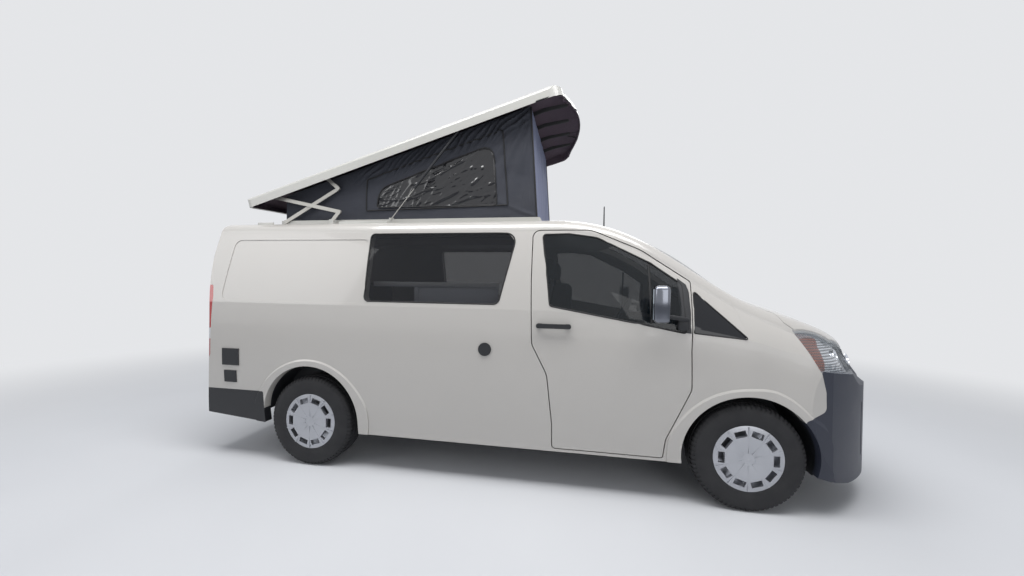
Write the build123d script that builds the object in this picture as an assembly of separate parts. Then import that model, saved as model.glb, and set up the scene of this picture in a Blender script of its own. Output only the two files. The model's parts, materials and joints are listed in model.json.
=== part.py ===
"""A long-wheelbase camper van with a raised, rear-hinged pop-top roof.

Frame: millimetres, +X forward, +Y to the van's left, +Z up. The origin is on the ground, at mid-length, on
the centreline. The body is one outer form, built from a few cross-sections. Its panels, doors, glass and
lamps are cut out of the wall between that form and the same form set inwards. The pop-top is modelled closed
on the roof and then turned up to the pose in which it stands.
"""
from build123d import *
import math
import os

# Overall sizes
LENGTH = 5265.0
HALF_LENGTH = LENGTH / 2
HALF_WIDTH = 975.0
ROOF_HEIGHT = 1990.0
WHEELBASE = 3210.0
FRONT_OVERHANG = 1045.0
FRONT_AXLE_X = HALF_LENGTH - FRONT_OVERHANG
REAR_AXLE_X = FRONT_AXLE_X - WHEELBASE

# Walls and clearances
WALL = 60.0
DOOR_WALL = 52.0
SKIN = 10.0
BONNET_WALL = 20.0
GLASS_RECESS = 2.0
GLASS = 5.0
DOOR_GAP = 7.0
DOOR_REBATE = 12.0
DOOR_LIP = 34.0
SEAT = 0.3
TRIM_PROUD = 8.0

# Body heights
SKIRT_HEIGHT = 160.0
SILL_HEIGHT = 280.0
FLOOR_HEIGHT = 480.0
FLOOR_THICKNESS = 40.0

# Running gear
TYRE_RADIUS = 354.0
TYRE_WIDTH = 215.0
RIM_INSET = 24.0
RIM_SHEET = 14.0
RIM_RADIUS = 203.0
HUBCAP_RADIUS = 216.0
HALF_TRACK = 837.0
KING_PIN_Y = 790.0
ARCH_RADIUS = 415.0
REAR_ARCH_LIFT = 32.0
REAR_ARCH_Z = TYRE_RADIUS + REAR_ARCH_LIFT
FLARE_RADIUS = 505.0
FLARE_FADE = 40.0
LINER = 6.0
LINER_OUTSIDE = ARCH_RADIUS + LINER + 4.0
STUB_RADIUS = 28.0
STUB_REACH = 50.0
BRAKE_DISC_RADIUS = 140.0
KING_PIN_RADIUS = 12.0
RUNNING_FIT = 0.08
HUBCAP_BLADES = 10
HUBCAP_SLOT_RADIUS = 166.0
HUBCAP_SLOT = (72.0, 60.0, 40.0)
HUBCAP_BLADE = (7.0, 14.0)
HUB_RADIUS = 34.0
FRONT_LINER_Y = 505.0
REAR_LINER_Y = 700.0

# Chassis and cabin
RAIL_Y = 450.0
RAIL_HALF = 30.0
RAIL_BOTTOM = 385.0
RAIL_FRONT = 2380.0
TOWBAR_X = -2300.0
TOWBAR_SPACING = 140.0
TOWBAR_HOLE_RADIUS = 6.5
FLOOR_FRONT = 1310.0
BENCH_Y = (-380.0, 690.0)
GALLEY_Y = -440.0
GALLEY_TOP = 1050.0
STEERING_CENTRE = (900.0, 420.0, 1170.0)
STEERING_TILT = -62.0
ROOF_FRONT = 655.0
HEADER_FRONT = 830.0
HEADER_HALF = 560.0
COWL_START = 1452.0
BEAM_BOTTOM = 270.0
BEAM_TOP = 330.0
ENGINE_BOTTOM = 395.0
ENGINE_TOP = 960.0
FUEL_TANK = (-900.0, -250.0, 250.0)
EXHAUST_LINE = (250.0, 350.0)
SILENCER = (-2150.0, 62.0, 380.0)
TAILPIPE = (-2440.0, 24.0, 240.0)
BONNET_GAP = 6.0
INTAKE_HALF = 440.0
INTAKE_HEIGHTS = (330.0, 560.0)
PRESSING = 4.0

# The middle of the body has one cross-section, and the front is lofted through these.
# Columns: x, top at the centreline, roof edge (y, z), cant rail (y, z), belt (y, z)
MIDDLE = (200, ROOF_HEIGHT, 700, 1964, 818, 1872, 955, 1290)
FRONT_SECTIONS = [
    MIDDLE,
    (360, 1989, 700, 1961, 817, 1869, 955, 1286),
    (700, 1956, 692, 1905, 806, 1800, 955, 1262),
    (1050, 1842, 686, 1742, 806, 1632, 954, 1226),
    (1400, 1622, 700, 1505, 830, 1405, 954, 1170),
    (1620, 1446, 718, 1374, 850, 1282, 952, 1120),
    (1830, 1362, 708, 1298, 868, 1190, 945, 1060),
    (2100, 1270, 630, 1203, 832, 1085, 922, 985),
    (2350, 1140, 420, 1080, 550, 985, 715, 830),
    (2520, 1000, 250, 935, 350, 852, 600, 768),
    (2680, 800, 200, 725, 300, 660, 490, 630),
]
SKIRT_HALF_WIDTH = 893.0
BULGE = 42.0
REAR_LOFT_X = -2700.0

# Outlines in the side view. Columns: x, z, corner radius
DOOR = [
    (300, 300, 30), (298, 490, 200), (259, 840, 200), (149, 1050, 100), (133, 1500, 0), (130, 1882, 60),
    (560, 1882, 200), (909, 1736, 400), (1244, 1512, 30), (1225, 1050, 0), (1229, 790, 100), (1075, 440, 120),
    (1060, 300, 20),
]
DOOR_GLASS = [(207, 1846, 30), (275, 1322, 30), (930, 1210, 0), (1188, 1161, 20), (1178, 1492, 25),
              (968, 1640, 500), (600, 1822, 250), (400, 1850, 0)]
QUARTER_GLASS = [(1236, 1166, 15), (1252, 1449, 15), (1575, 1134, 12)]
REAR_WINDOW = [(-1174, 1860, 40), (-1162, 1325, 50), (-100, 1325, 60), (20, 1860, 90)]
SLIDING_DOOR = [(-1150, 330, 30), (-1165, 520, 100), (-1222, 700, 100), (-1220, 1900, 60), (90, 1900, 60),
                (95, 1050, 100), (200, 840, 150), (262, 330, 40)]
TAIL_LAMP = [(-2700, 1432, 0), (-2553, 1432, 25), (-2533, 1330, 40), (-2533, 860, 40), (-2560, 770, 20),
             (-2700, 770, 0)]
REAR_BUMPER = [(-2700, 573, 0), (-2034, 573, 12), (-2036, 310, 10), (-2200, 326, 40), (-2700, 372, 0)]
FRONT_BUMPER = [(1992, 953, 12), (2026, 820, 60), (2030, 700, 40), (1905, 634, 20), (1890, 420, 0),
                (1985, 270, 0), (2235, 205, 60), (2700, 160, 0), (2700, 872, 0), (2300, 910, 60)]
HEADLAMP = [(1858, 1210, 10), (1946, 1029, 60), (1990, 947, 12), (2300, 904, 60), (2700, 866, 0),
            (2700, 1100, 0)]
FENDER_REAR = [(1229, 1148, 0), (1586, 1120, 0), (1478, 1455, 0), (1500, 1700, 0), (2700, 1700, 0),
               (2700, 240, 0), (1100, 240, 0), (1060, 300, 20), (1075, 440, 120), (1229, 790, 100)]
PRESSED_PANEL = [(-2458, 1309, 60), (-1187, 1309, 40), (-1190, 1815, 40), (-2425, 1815, 60)]
FILLER_CENTRE = (-188, 999)
FILLER_RADIUS = 48.0
INLETS = [(-2411, -2256, 775, 912), (-2395, -2283, 634, 731)]
HANDLE = [(185, 1168, 14), (428, 1168, 14), (428, 1200, 14), (185, 1200, 14)]
HANDLE_FEET = (203.0, 410.0)
MIRROR_FOOT = [(1100, 1190, 20), (1200, 1175, 20), (1200, 1310, 20), (1120, 1300, 20)]

# Mirror: the housing's box and edge radius, then where its arm starts, how it runs, and its section
MIRROR_BOX = (890, 1055, -1136, -1015, 1312, 1545)
MIRROR_EDGE = 26.0
MIRROR_ARM_START = (1030, -1030, 1345)
MIRROR_ARM_RUN = (165, 95, -60)
MIRROR_ARM_SECTION = (46, 26)

# Curved ends in plan: x at the centreline, then x and y at the corner
BONNET_REAR = (1745.0, 1560.0, 752.0)
BONNET_FRONT = (2492.0, 2410.0, 400.0)
WINDSCREEN_TOP = (812.0, 660.0, 640.0)
WINDSCREEN_FOOT = (1690.0, 1440.0, 688.0)

# The bonnet's right-hand edge in plan. Columns: x, y
BONNET_SIDE = [(1784, 793), (1820, 846), (1880, 864), (2125, 788), (2245, 675)]
ROOF_EDGE = 700.0
COWL_EDGE = 745.0
LAMP_INNER = 525.0
GRILLE_X = 2290.0
GRILLE_SLOTS = (905.0, 940.0, 975.0)
GRILLE_SLOT_HALF = 7.0
GRILLE_MARGIN = 45.0
CORNER_SLOT = (2400.0, -612.0, 510.0)
CORNER_SLOT_SIZE = (160.0, 26.0, 370.0)
CORNER_SLOT_TURN = -32.0

# Tailgate: columns y, z of one side, corner radius
TAILGATE = [(802, 580, 30), (802, 1425, 60), (705, 1735, 60), (690, 1850, 0), (690, 2100, 0)]
TAILGATE_SEAM = -2572.0
TAILGATE_GLASS = [(690, 1215, 60), (690, 1400, 60), (605, 1800, 60)]

# Roof opening under the tent
ROOF_OPENING = (-1950.0, -150.0, 540.0)

# Pop-top shell in its closed pose, in the side view
SHELL_CENTRE = (-2860.0, 1994.0)
SHELL_ANGLE = 16.7
SHELL_REAR = -2382.0
SHELL_WALL = 16.0
SHELL_RIM = 1955.0
SHELL_HALF_WIDTH = 775.0
SHELL_NOSE = (602.0, 470.0, 640.0)

# Tent
TENT_BASE = (-2090.0, 140.0)
TENT_HALF_WIDTH = 660.0
TENT_RAIL = 26.0
TENT_RAIL_TOP = 2001.0
CANVAS = 12.0
CANVAS_TOP = [(80, 2877), (-2090, 2222)]

# Pop-top linkage, in the raised pose. Columns: pin at the carrying end, far end
ARM_WIDTH = 30.0
ARM_THICKNESS = 8.0
PIN_RADIUS = 6.0
LOWER_ARM = ((-2067, 1990), (-1560, 2268))
UPPER_ARM = ((-2200, 2210), (-1533, 2065))
LINK_A = ((-1670, 2360), (-1560, 2268))
LINK_B = ((-1600, 1985), (-1533, 2065))
LAYER_LOWER = 690.0
LAYER_LINK_A = LAYER_LOWER + ARM_THICKNESS + SEAT
LAYER_UPPER = 712.0
LAYER_LINK_B = LAYER_UPPER + ARM_THICKNESS + SEAT
STRUT_TOP = (-460, 2715)
STRUT_FOOT = (-1052, 1990)
STRUT_Y = 742.0
STRUT_RADIUS = 10.0
ROD_RADIUS = 4.0
STRUT_EYE = 9.0
STRUT_TUBE = 620.0
ROD_INSIDE = 50.0

# Aerial
AERIAL_X = 692.0
AERIAL_FOOT_RADIUS = 20.0
AERIAL_MAST_RADIUS = 3.0


def corner_edges(corners):
    """The edges of a closed outline of (u, v, radius) corners."""
    def arc_ends(before, corner, after):
        u, v, radius = corner
        if radius == 0:
            return [(u, v)]
        to_before = math.atan2(before[1] - v, before[0] - u)
        to_after = math.atan2(after[1] - v, after[0] - u)
        opening = abs((to_before - to_after + math.pi) % (2 * math.pi) - math.pi)
        reach = radius / math.tan(opening / 2)
        bisector = math.atan2(math.sin(to_before) + math.sin(to_after),
                              math.cos(to_before) + math.cos(to_after))
        middle = radius / math.sin(opening / 2) - radius
        start = (u + reach * math.cos(to_before), v + reach * math.sin(to_before))
        crest = (u + middle * math.cos(bisector), v + middle * math.sin(bisector))
        end = (u + reach * math.cos(to_after), v + reach * math.sin(to_after))
        return [start, crest, end]

    count = len(corners)
    stations = [arc_ends(corners[i - 1], corners[i], corners[(i + 1) % count]) for i in range(count)]
    edges = []
    for i, station in enumerate(stations):
        if len(station) == 3:
            edges.append(ThreePointArc(*station))
        edges.append(Line(station[-1], stations[(i + 1) % count][0]))
    return edges


def grown(corners, amount):
    """An outline of (u, v, radius) corners with its sides moved outwards by an amount."""
    count = len(corners)
    pairs = [(corners[i - 1], corners[i]) for i in range(count)]
    turn = math.copysign(1, sum(a[0] * b[1] - b[0] * a[1] for a, b in pairs))
    result = []
    for i in range(count):
        before, corner, after = corners[i - 1], corners[i], corners[(i + 1) % count]
        normals = []
        for a, b in ((before, corner), (corner, after)):
            length = math.hypot(b[0] - a[0], b[1] - a[1])
            normals.append((turn * (b[1] - a[1]) / length, turn * (a[0] - b[0]) / length))
        (n1u, n1v), (n2u, n2v) = normals
        reach = amount / (1 + n1u * n2u + n1v * n2v)
        bends_out = turn * (n1u * n2v - n1v * n2u) > 0
        radius = corner[2] and max(corner[2] + (amount if bends_out else -amount), 1.0)
        result.append((corner[0] + reach * (n1u + n2u), corner[1] + reach * (n1v + n2v), radius))
    return result


def side_plane(y):
    """A vertical plane across the van at a place, seen from the right."""
    return Plane(origin=(0, y, 0), x_dir=(1, 0, 0), z_dir=(0, -1, 0))


def side_prism(corners, y_low, y_high, grow=0.0):
    """An outline in the side view, pushed through from y_low to y_high, grown by an amount."""
    face = make_face(corner_edges(grown(corners, grow)))
    return extrude(side_plane(y_low) * face, amount=y_high - y_low, dir=(0, 1, 0))


def right_prism(corners, grow=0.0):
    """An outline in the side view, pushed through the right-hand side only."""
    return side_prism(corners, -1300, -300, grow)


def plan_prism(edges, low=0.0, high=2300.0):
    """An outline in plan, pushed upwards."""
    return extrude(Pos(0, 0, low) * make_face(edges), amount=high - low)


def box(x_low, x_high, y_low, y_high, z_low, z_high):
    """A block between two corners."""
    size = (x_high - x_low, y_high - y_low, z_high - z_low)
    centre = ((x_low + x_high) / 2, (y_low + y_high) / 2, (z_low + z_high) / 2)
    return Pos(*centre) * Box(*size)


def cylinder_y(x, z, radius, y_low, y_high):
    """A cylinder across the van."""
    return Pos(x, (y_low + y_high) / 2, z) * Rot(X=90) * Cylinder(radius, y_high - y_low)


def to_left(part):
    """The mirror image of a right-hand piece."""
    return mirror(part, about=Plane.XZ)


def both(part):
    """A right-hand piece and its mirror image, as separate solids of one node."""
    return Compound(children=[*part.solids(), *to_left(part).solids()])


# The body's form


def corner_middle(y_edge, z_edge, y_top, z_top):
    """The middle point of a rounded corner between a side and a top."""
    share = 0.414
    middle_y = (y_edge + y_top) / 2
    middle_z = (z_edge + z_top) / 2
    return middle_y + share * (y_edge - middle_y), middle_z + share * (z_top - middle_z)


def body_section(row, inset):
    """One cross-section of the body, moved inwards by an inset."""
    x, top, y4, z4, y3, z3, yb, zb = row
    y4, y3, yb = y4 - inset * 0.75, y3 - inset, yb - inset
    top, z4, z3, zb = top - inset, z4 - inset, z3 - inset * 0.5, zb - inset * 0.5
    ys = min(SKIRT_HALF_WIDTH, yb + inset - 12) - inset
    zs = SKIRT_HEIGHT
    low_middle = ((ys + yb) / 2 + BULGE, (zs + zb) / 2)
    high_middle = ((yb + y3) / 2 + 9, (zb + z3) / 2)
    edge_middle = corner_middle(y3, z3, y4, z4)
    right = [(-ys, zs), (-low_middle[0], low_middle[1]), (-yb, zb), (-high_middle[0], high_middle[1]),
             (-y3, z3), (-edge_middle[0], edge_middle[1]), (-y4, z4)]
    left = [(-y, z) for y, z in reversed(right)]
    plane = Plane(origin=(x, 0, 0), x_dir=(0, 1, 0), z_dir=(1, 0, 0))
    edges = [ThreePointArc(right[i], right[i + 1], right[i + 2]) for i in (0, 2, 4)]
    edges += [ThreePointArc(right[6], (0, top), left[0])]
    edges += [ThreePointArc(left[i], left[i + 1], left[i + 2]) for i in (0, 2, 4)]
    edges += [Line(left[6], right[0])]
    return plane * make_face(edges)


def plan_form(inset):
    """The plan outline: straight sides, round corners and a bowed nose and tail."""
    side = HALF_WIDTH + 15 - inset
    nose, tail = HALF_LENGTH, -HALF_LENGTH + inset
    # The points of one front corner and how each moves inwards. Columns: x, y, share in x, share in y
    nose_corner, nose_middle, nose_shoulder, side_middle = [
        (nose - x - inset * share_x, y - inset * share_y)
        for x, y, share_x, share_y in ((92, 455, 0.87, 0.5), (292, 719, 0.72, 0.69), (560, 932, 0.55, 0.84),
                                       (750, 980, 0.2, 0.98))
    ]
    side_front = (1700, side)
    tail_corner = (tail + 22, 850 - inset * 0.8)
    tail_middle = (tail + 55, 940 - inset)
    tail_side = (tail + 165, side)

    def mirrored(p):
        return (p[0], -p[1])

    half = [
        (nose_corner, nose_middle, nose_shoulder),
        (nose_shoulder, side_middle, side_front),
        (side_front, tail_side),
        (tail_side, tail_middle, tail_corner),
    ]
    edges = [ThreePointArc(mirrored(nose_corner), (nose - inset, 0), nose_corner),
             ThreePointArc(tail_corner, (tail, 0), mirrored(tail_corner))]
    for points in half:
        edge = Line if len(points) == 2 else ThreePointArc
        edges += [edge(*points), edge(*[mirrored(p) for p in reversed(points)])]
    return plan_prism(edges)


def profile_form(inset):
    """The side profile that leans the tail, rounds it into the roof and turns the bumper under."""
    tail, nose, top = -HALF_LENGTH + inset, HALF_LENGTH - inset, ROOF_HEIGHT - inset
    lean = 34
    above = top + 300
    edges = [
        Line((tail, 100), (tail, 1250)),
        Line((tail, 1250), (tail + lean, top - 92)),
        ThreePointArc((tail + lean, top - 92), (tail + lean + 22, top - 32), (tail + lean + 96, top)),
        Line((tail + lean + 96, top), (tail + lean + 96, above)),
        Line((tail + lean + 96, above), (2300, above)),
        Line((2300, above), (nose - 70, 985)),
        ThreePointArc((nose - 70, 985), (nose - 22, 890), (nose, 770)),
        Line((nose, 770), (nose, 340)),
        ThreePointArc((nose, 340), (nose - 32, 245), (nose - 130, 190)),
        Line((nose - 130, 190), (nose - 400, 100)),
        Line((nose - 400, 100), (tail, 100)),
    ]
    return extrude(side_plane(-1300) * make_face(edges), amount=2600, dir=(0, 1, 0))


def body_form(inset):
    """The whole outer form of the body, set inwards by an inset."""
    middle = extrude(body_section(MIDDLE, inset), amount=MIDDLE[0] - REAR_LOFT_X, dir=(-1, 0, 0))
    front = loft([body_section(row, inset) for row in FRONT_SECTIONS])
    return (middle + front) & plan_form(inset) & profile_form(inset)


ABOVE_TRIM = body_form(-TRIM_PROUD)
ARCHES = [(FRONT_AXLE_X, TYRE_RADIUS), (REAR_AXLE_X, REAR_ARCH_Z)]


def flares():
    """The raised bands round the wheel arches; a cone lets each fade out where the body is widest."""
    bands = []
    for x, z in ARCHES:
        cone = Pos(x, -950 - FLARE_FADE / 2, z) * Rot(X=90) * Cone(FLARE_RADIUS, ARCH_RADIUS + 20, FLARE_FADE)
        band = ABOVE_TRIM & (cone + cylinder_y(x, z, FLARE_RADIUS, -950, -700))
        bands += [band, to_left(band)]
    return bands


OUTER = body_form(0)
for flare in flares():
    OUTER = OUTER + flare
SKIN_BACK = body_form(SKIN)
DOOR_BACK = body_form(DOOR_WALL)
LIP_FACE = body_form(DOOR_WALL + SEAT)
INNER = body_form(WALL)
CABIN = body_form(WALL + SEAT)
BODY_WALL = OUTER - INNER
GLASS_FACE = body_form(GLASS_RECESS)
GLASS_BACK = body_form(GLASS_RECESS + GLASS)
GLASS_SHEET = GLASS_FACE - GLASS_BACK
ABOVE_SKIN = body_form(-SEAT)
TRIM_SHEET = ABOVE_TRIM - ABOVE_SKIN
SKIN_SHEET = OUTER - SKIN_BACK
PRESSED_SHEET = OUTER - body_form(PRESSING)
DOOR_CORE = SKIN_BACK - DOOR_BACK


def bonnet_prism(grow):
    """The space of the bonnet in plan, grown by an amount."""
    rear_x, rear_corner_x, rear_corner_y = BONNET_REAR
    front_x, front_middle_x, front_middle_y = BONNET_FRONT
    side = [(x, y + grow) for x, y in [(rear_corner_x - grow, rear_corner_y), *BONNET_SIDE]]
    front = [side[-1], (front_middle_x + grow, front_middle_y), (front_x + grow, 0)]
    edges = [ThreePointArc((side[0][0], -side[0][1]), (rear_x - grow, 0), side[0])]
    for (x1, y1), (x2, y2) in zip(side, side[1:]):
        edges += [Line((x1, y1), (x2, y2)), Line((x2, -y2), (x1, -y1))]
    edges += [ThreePointArc(*front), ThreePointArc(*[(x, -y) for x, y in front])]
    return plan_prism(edges, SILL_HEIGHT)


def windscreen_prism(grow):
    """The space of the windscreen in plan, grown by an amount."""
    top_x, top_corner_x, top_y = WINDSCREEN_TOP
    foot_x, foot_corner_x, foot_y = WINDSCREEN_FOOT
    top = (top_corner_x - grow, top_y + grow)
    foot = (foot_corner_x + grow, foot_y + grow)
    edges = [
        ThreePointArc((top[0], -top[1]), (top_x - grow, 0), top),
        Line(top, foot),
        ThreePointArc(foot, (foot_x + grow, 0), (foot[0], -foot[1])),
        Line((foot[0], -foot[1]), (top[0], -top[1])),
    ]
    return plan_prism(edges, 900)


def end_prism(half_outline, x_low, x_high, grow=0.0):
    """A symmetric outline of (y, z, radius) corners in the end view, pushed through in x."""
    corners = half_outline + [(-y, z, radius) for y, z, radius in reversed(half_outline)]
    plane = Plane(origin=(x_low, 0, 0), x_dir=(0, 1, 0), z_dir=(1, 0, 0))
    face = plane * make_face(corner_edges(grown(corners, grow)))
    return extrude(face, amount=x_high - x_low, dir=(1, 0, 0))


BONNET_BACK = body_form(BONNET_WALL)
BONNET_LIP_FACE = body_form(BONNET_WALL + SEAT)
BONNET_CORE = SKIN_BACK - BONNET_BACK
ARCH_SPACE = box(REAR_AXLE_X - ARCH_RADIUS, REAR_AXLE_X + ARCH_RADIUS, -1200, 1200, 0, REAR_ARCH_Z)
for arch_x, arch_z in ARCHES:
    ARCH_SPACE = ARCH_SPACE + cylinder_y(arch_x, arch_z, ARCH_RADIUS, -1200, 1200)
BUMPER_SPACE = side_prism(FRONT_BUMPER, -1300, 1300, SEAT)


def opening(prism, inner_prism, lip_face):
    """What a door's opening takes out of the body wall: a lip is left behind the door's edge."""
    return (prism - lip_face) + inner_prism


DOOR_OPENING = opening(right_prism(DOOR), right_prism(DOOR, -DOOR_LIP), LIP_FACE)
SLIDING_OPENING = opening(right_prism(SLIDING_DOOR), right_prism(SLIDING_DOOR, -DOOR_LIP), LIP_FACE)
TAILGATE_OPENING = opening(end_prism(TAILGATE, -2800, TAILGATE_SEAM),
                           end_prism(TAILGATE, -2800, TAILGATE_SEAM, -DOOR_LIP), LIP_FACE)
BONNET_OPENING = opening(bonnet_prism(0), bonnet_prism(-DOOR_LIP), BONNET_LIP_FACE)
WINDSCREEN_OPENING = windscreen_prism(SEAT)
COWL_SPACE = box(COWL_START, 1770, -COWL_EDGE, COWL_EDGE, 1180, 1700)


def leaf(prism, inner_prism, core):
    """A door or lid: its skin fills the opening less a gap, and its inner part is a rebate smaller."""
    return (SKIN_SHEET & prism) + (core & inner_prism)


def roof_space(grow):
    """The space of the roof panel between the cant rails, with the header over the windscreen."""
    edge, header = ROOF_EDGE + grow, HEADER_HALF + grow
    return (box(TAILGATE_SEAM - grow, ROOF_FRONT + grow, -edge, edge, 1700, 2300)
            + box(ROOF_FRONT - 10, HEADER_FRONT, -header, header, 1700, 2300))


def roof_panel():
    """The fixed roof, with the opening under the tent."""
    low_x, high_x, half = ROOF_OPENING
    return (BODY_WALL & roof_space(0)) - WINDSCREEN_OPENING - box(low_x, high_x, -half, half, 1700, 2300)


def side_base():
    """The right-hand side with its cab door opening."""
    wall = BODY_WALL & box(-2700, 1600, -1200, -SEAT / 2, SILL_HEIGHT, 2100)
    wall = wall - roof_space(SEAT) - TAILGATE_OPENING - WINDSCREEN_OPENING - right_prism(FENDER_REAR, SEAT)
    wall = wall - right_prism(TAIL_LAMP, SEAT) - side_prism(REAR_BUMPER, -1300, 10, SEAT) - ARCH_SPACE
    wall = wall - box(-3000, -2034, -1200, 10, 0, 400) - right_prism(QUARTER_GLASS, SEAT) - COWL_SPACE
    return wall - DOOR_OPENING - (PRESSED_SHEET & right_prism(PRESSED_PANEL))


def cab_door():
    """The right-hand cab door without its glass."""
    door = leaf(right_prism(DOOR, -DOOR_GAP), right_prism(DOOR, -DOOR_GAP - DOOR_REBATE), DOOR_CORE)
    return door - right_prism(DOOR_GLASS, SEAT)


def sliding_door():
    """The sliding door of the left-hand side, round its window."""
    door = leaf(right_prism(SLIDING_DOOR, -DOOR_GAP), right_prism(SLIDING_DOOR, -DOOR_GAP - DOOR_REBATE),
                DOOR_CORE)
    return to_left(door - right_prism(REAR_WINDOW, SEAT))


def tailgate():
    """The tailgate round its window."""
    door = leaf(end_prism(TAILGATE, -2800, TAILGATE_SEAM - DOOR_GAP, -DOOR_GAP),
                end_prism(TAILGATE, -2800, TAILGATE_SEAM - DOOR_GAP, -DOOR_GAP - DOOR_REBATE), DOOR_CORE)
    return door - end_prism(TAILGATE_GLASS, -2800, -2300, SEAT)


def bonnet():
    """The bonnet: an outer skin with an inner panel behind it."""
    return leaf(bonnet_prism(-BONNET_GAP), bonnet_prism(-BONNET_GAP - DOOR_REBATE), BONNET_CORE)


def front_fender():
    """The right-hand front wing, round the arch, the lamp and the quarter window."""
    wall = BODY_WALL & right_prism(FENDER_REAR) & box(1000, 2700, -1200, -LAMP_INNER, SILL_HEIGHT, 1700)
    wall = wall - BUMPER_SPACE - right_prism(HEADLAMP, SEAT) - BONNET_OPENING - COWL_SPACE - ARCH_SPACE
    return wall - right_prism(QUARTER_GLASS, SEAT)


def headlamp():
    """The right-hand headlamp's lens, as deep as the body wall."""
    wall = BODY_WALL & right_prism(HEADLAMP) & box(1800, 2700, -1200, -LAMP_INNER, 700, 1300)
    return wall - BUMPER_SPACE - BONNET_OPENING


def grille():
    """The panel between the headlamps, with its slots."""
    half = LAMP_INNER - SEAT
    wall = BODY_WALL & box(GRILLE_X, 2700, -half, half, 700, 1200)
    wall = wall - BUMPER_SPACE - BONNET_OPENING
    for z in GRILLE_SLOTS:
        wall = wall - box(GRILLE_X - 90, 2700, GRILLE_MARGIN - half, half - GRILLE_MARGIN,
                          z - GRILLE_SLOT_HALF, z + GRILLE_SLOT_HALF)
    return wall


def front_bumper():
    """The front bumper with its air intake, and an upright recess at each corner."""
    wall = BODY_WALL & side_prism(FRONT_BUMPER, -1300, 1300)
    intake = box(2200, 2700, -INTAKE_HALF, INTAKE_HALF, *INTAKE_HEIGHTS)
    recess = SKIN_SHEET & (Pos(*CORNER_SLOT) * Rot(Z=CORNER_SLOT_TURN) * Box(*CORNER_SLOT_SIZE))
    return wall - ARCH_SPACE - intake - recess - to_left(recess)


def rear_bumper():
    """The rear bumper, from one rear arch round to the other."""
    return (BODY_WALL & side_prism(REAR_BUMPER, -1300, 1300)) - ARCH_SPACE


def cowl():
    """The panel between the windscreen's foot and the bonnet."""
    return (BODY_WALL & COWL_SPACE) - WINDSCREEN_OPENING - BONNET_OPENING


def tail_lamp():
    """The right-hand tail lamp."""
    wall = BODY_WALL & right_prism(TAIL_LAMP)
    return wall - TAILGATE_OPENING - end_prism(TAILGATE, -2800, TAILGATE_SEAM, SEAT)


def arch_liner(x, z, y_inner, z_low):
    """A half-round wheel housing with a closed inner end, for the right-hand side."""
    shell = (cylinder_y(x, z, LINER_OUTSIDE, -1000, LINER - y_inner)
             - cylinder_y(x, z, LINER_OUTSIDE - LINER, -1001, -y_inner))
    return shell & box(x - 600, x + 600, -1001, 0, z_low, z + 600) & CABIN


def floor_pan():
    """The floor with its chassis rails and the sills under the doors."""
    slab = CABIN & box(-2545, FLOOR_FRONT, -1000, 1000, FLOOR_HEIGHT - FLOOR_THICKNESS, FLOOR_HEIGHT)
    for (x, z), y_inner in zip(ARCHES, (FRONT_LINER_Y, REAR_LINER_Y)):
        for side in (-1, 1):
            low, high = sorted((side * (y_inner - LINER - SEAT), side * 1100))
            slab = slab - cylinder_y(x, z, LINER_OUTSIDE + SEAT, low, high)
            slab = slab - box(x - ARCH_RADIUS - 11, x + ARCH_RADIUS + 11, low, high, 0, z)
    pan = slab
    for side in (-1, 1):
        pan = pan + box(-2480, RAIL_FRONT, side * RAIL_Y - RAIL_HALF, side * RAIL_Y + RAIL_HALF,
                        RAIL_BOTTOM, FLOOR_HEIGHT - 20)
    for x in (TOWBAR_X - TOWBAR_SPACING / 2, TOWBAR_X + TOWBAR_SPACING / 2):
        for side in (-1, 1):
            pan = pan - Pos(x, side * RAIL_Y, RAIL_BOTTOM + 20) * Cylinder(TOWBAR_HOLE_RADIUS, 50)
    return pan


def bulkhead():
    """The wall between the cab and the engine, cut out round the arches and the rails."""
    plate = CABIN & box(FLOOR_FRONT + SEAT, FLOOR_FRONT + SEAT + 20, -1000, 1000,
                        FLOOR_HEIGHT - FLOOR_THICKNESS, 1150)
    for side in (-1, 1):
        low, high = sorted((side * (FRONT_LINER_Y - LINER - SEAT), side * 1100))
        plate = plate - cylinder_y(FRONT_AXLE_X, TYRE_RADIUS, LINER_OUTSIDE + SEAT, low, high)
        plate = plate - box(1100, 1400, side * RAIL_Y - RAIL_HALF - 1, side * RAIL_Y + RAIL_HALF + 1, 300,
                            FLOOR_HEIGHT - 19)
    return plate


def steering_plane():
    """A plane in the steering wheel, with its z axis up the column towards the driver."""
    return Pos(*STEERING_CENTRE) * Rot(Y=STEERING_TILT)


def dashboard():
    """The dashboard, with the fixed shroud of the steering column."""
    front = FLOOR_FRONT - SEAT
    corners = [(1000, 900, 30), (1005, 1090, 40), (1120, 1140, 60), (front, 1130, 20), (front, 860, 20),
               (1120, 820, 40)]
    body = side_prism(corners, -1000, 1000) & CABIN & box(900, 1400, -860, 860, 700, 1200)
    return body + steering_plane() * Pos(0, 0, -140) * Cylinder(34, 140)


def front_seat(y):
    """A front seat with its base, cushion, back and headrest."""
    cushion = [(330, 860, 30), (840, 880, 35), (850, 970, 45), (350, 950, 30)]
    back = [(250, 900, 20), (320, 880, 20), (395, 960, 30), (300, 1500, 45), (190, 1500, 45)]
    head = [(175, 1525, 30), (280, 1525, 30), (262, 1700, 35), (165, 1695, 35)]
    base = box(400, 780, y - 190, y + 190, FLOOR_HEIGHT + SEAT, 885)
    post = box(210, 235, y - 60, y + 60, 1480, 1540)
    seat = side_prism(cushion, y - 250, y + 250) + side_prism(back, y - 240, y + 240) + base
    return seat + side_prism(head, y - 130, y + 130) + post


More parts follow.
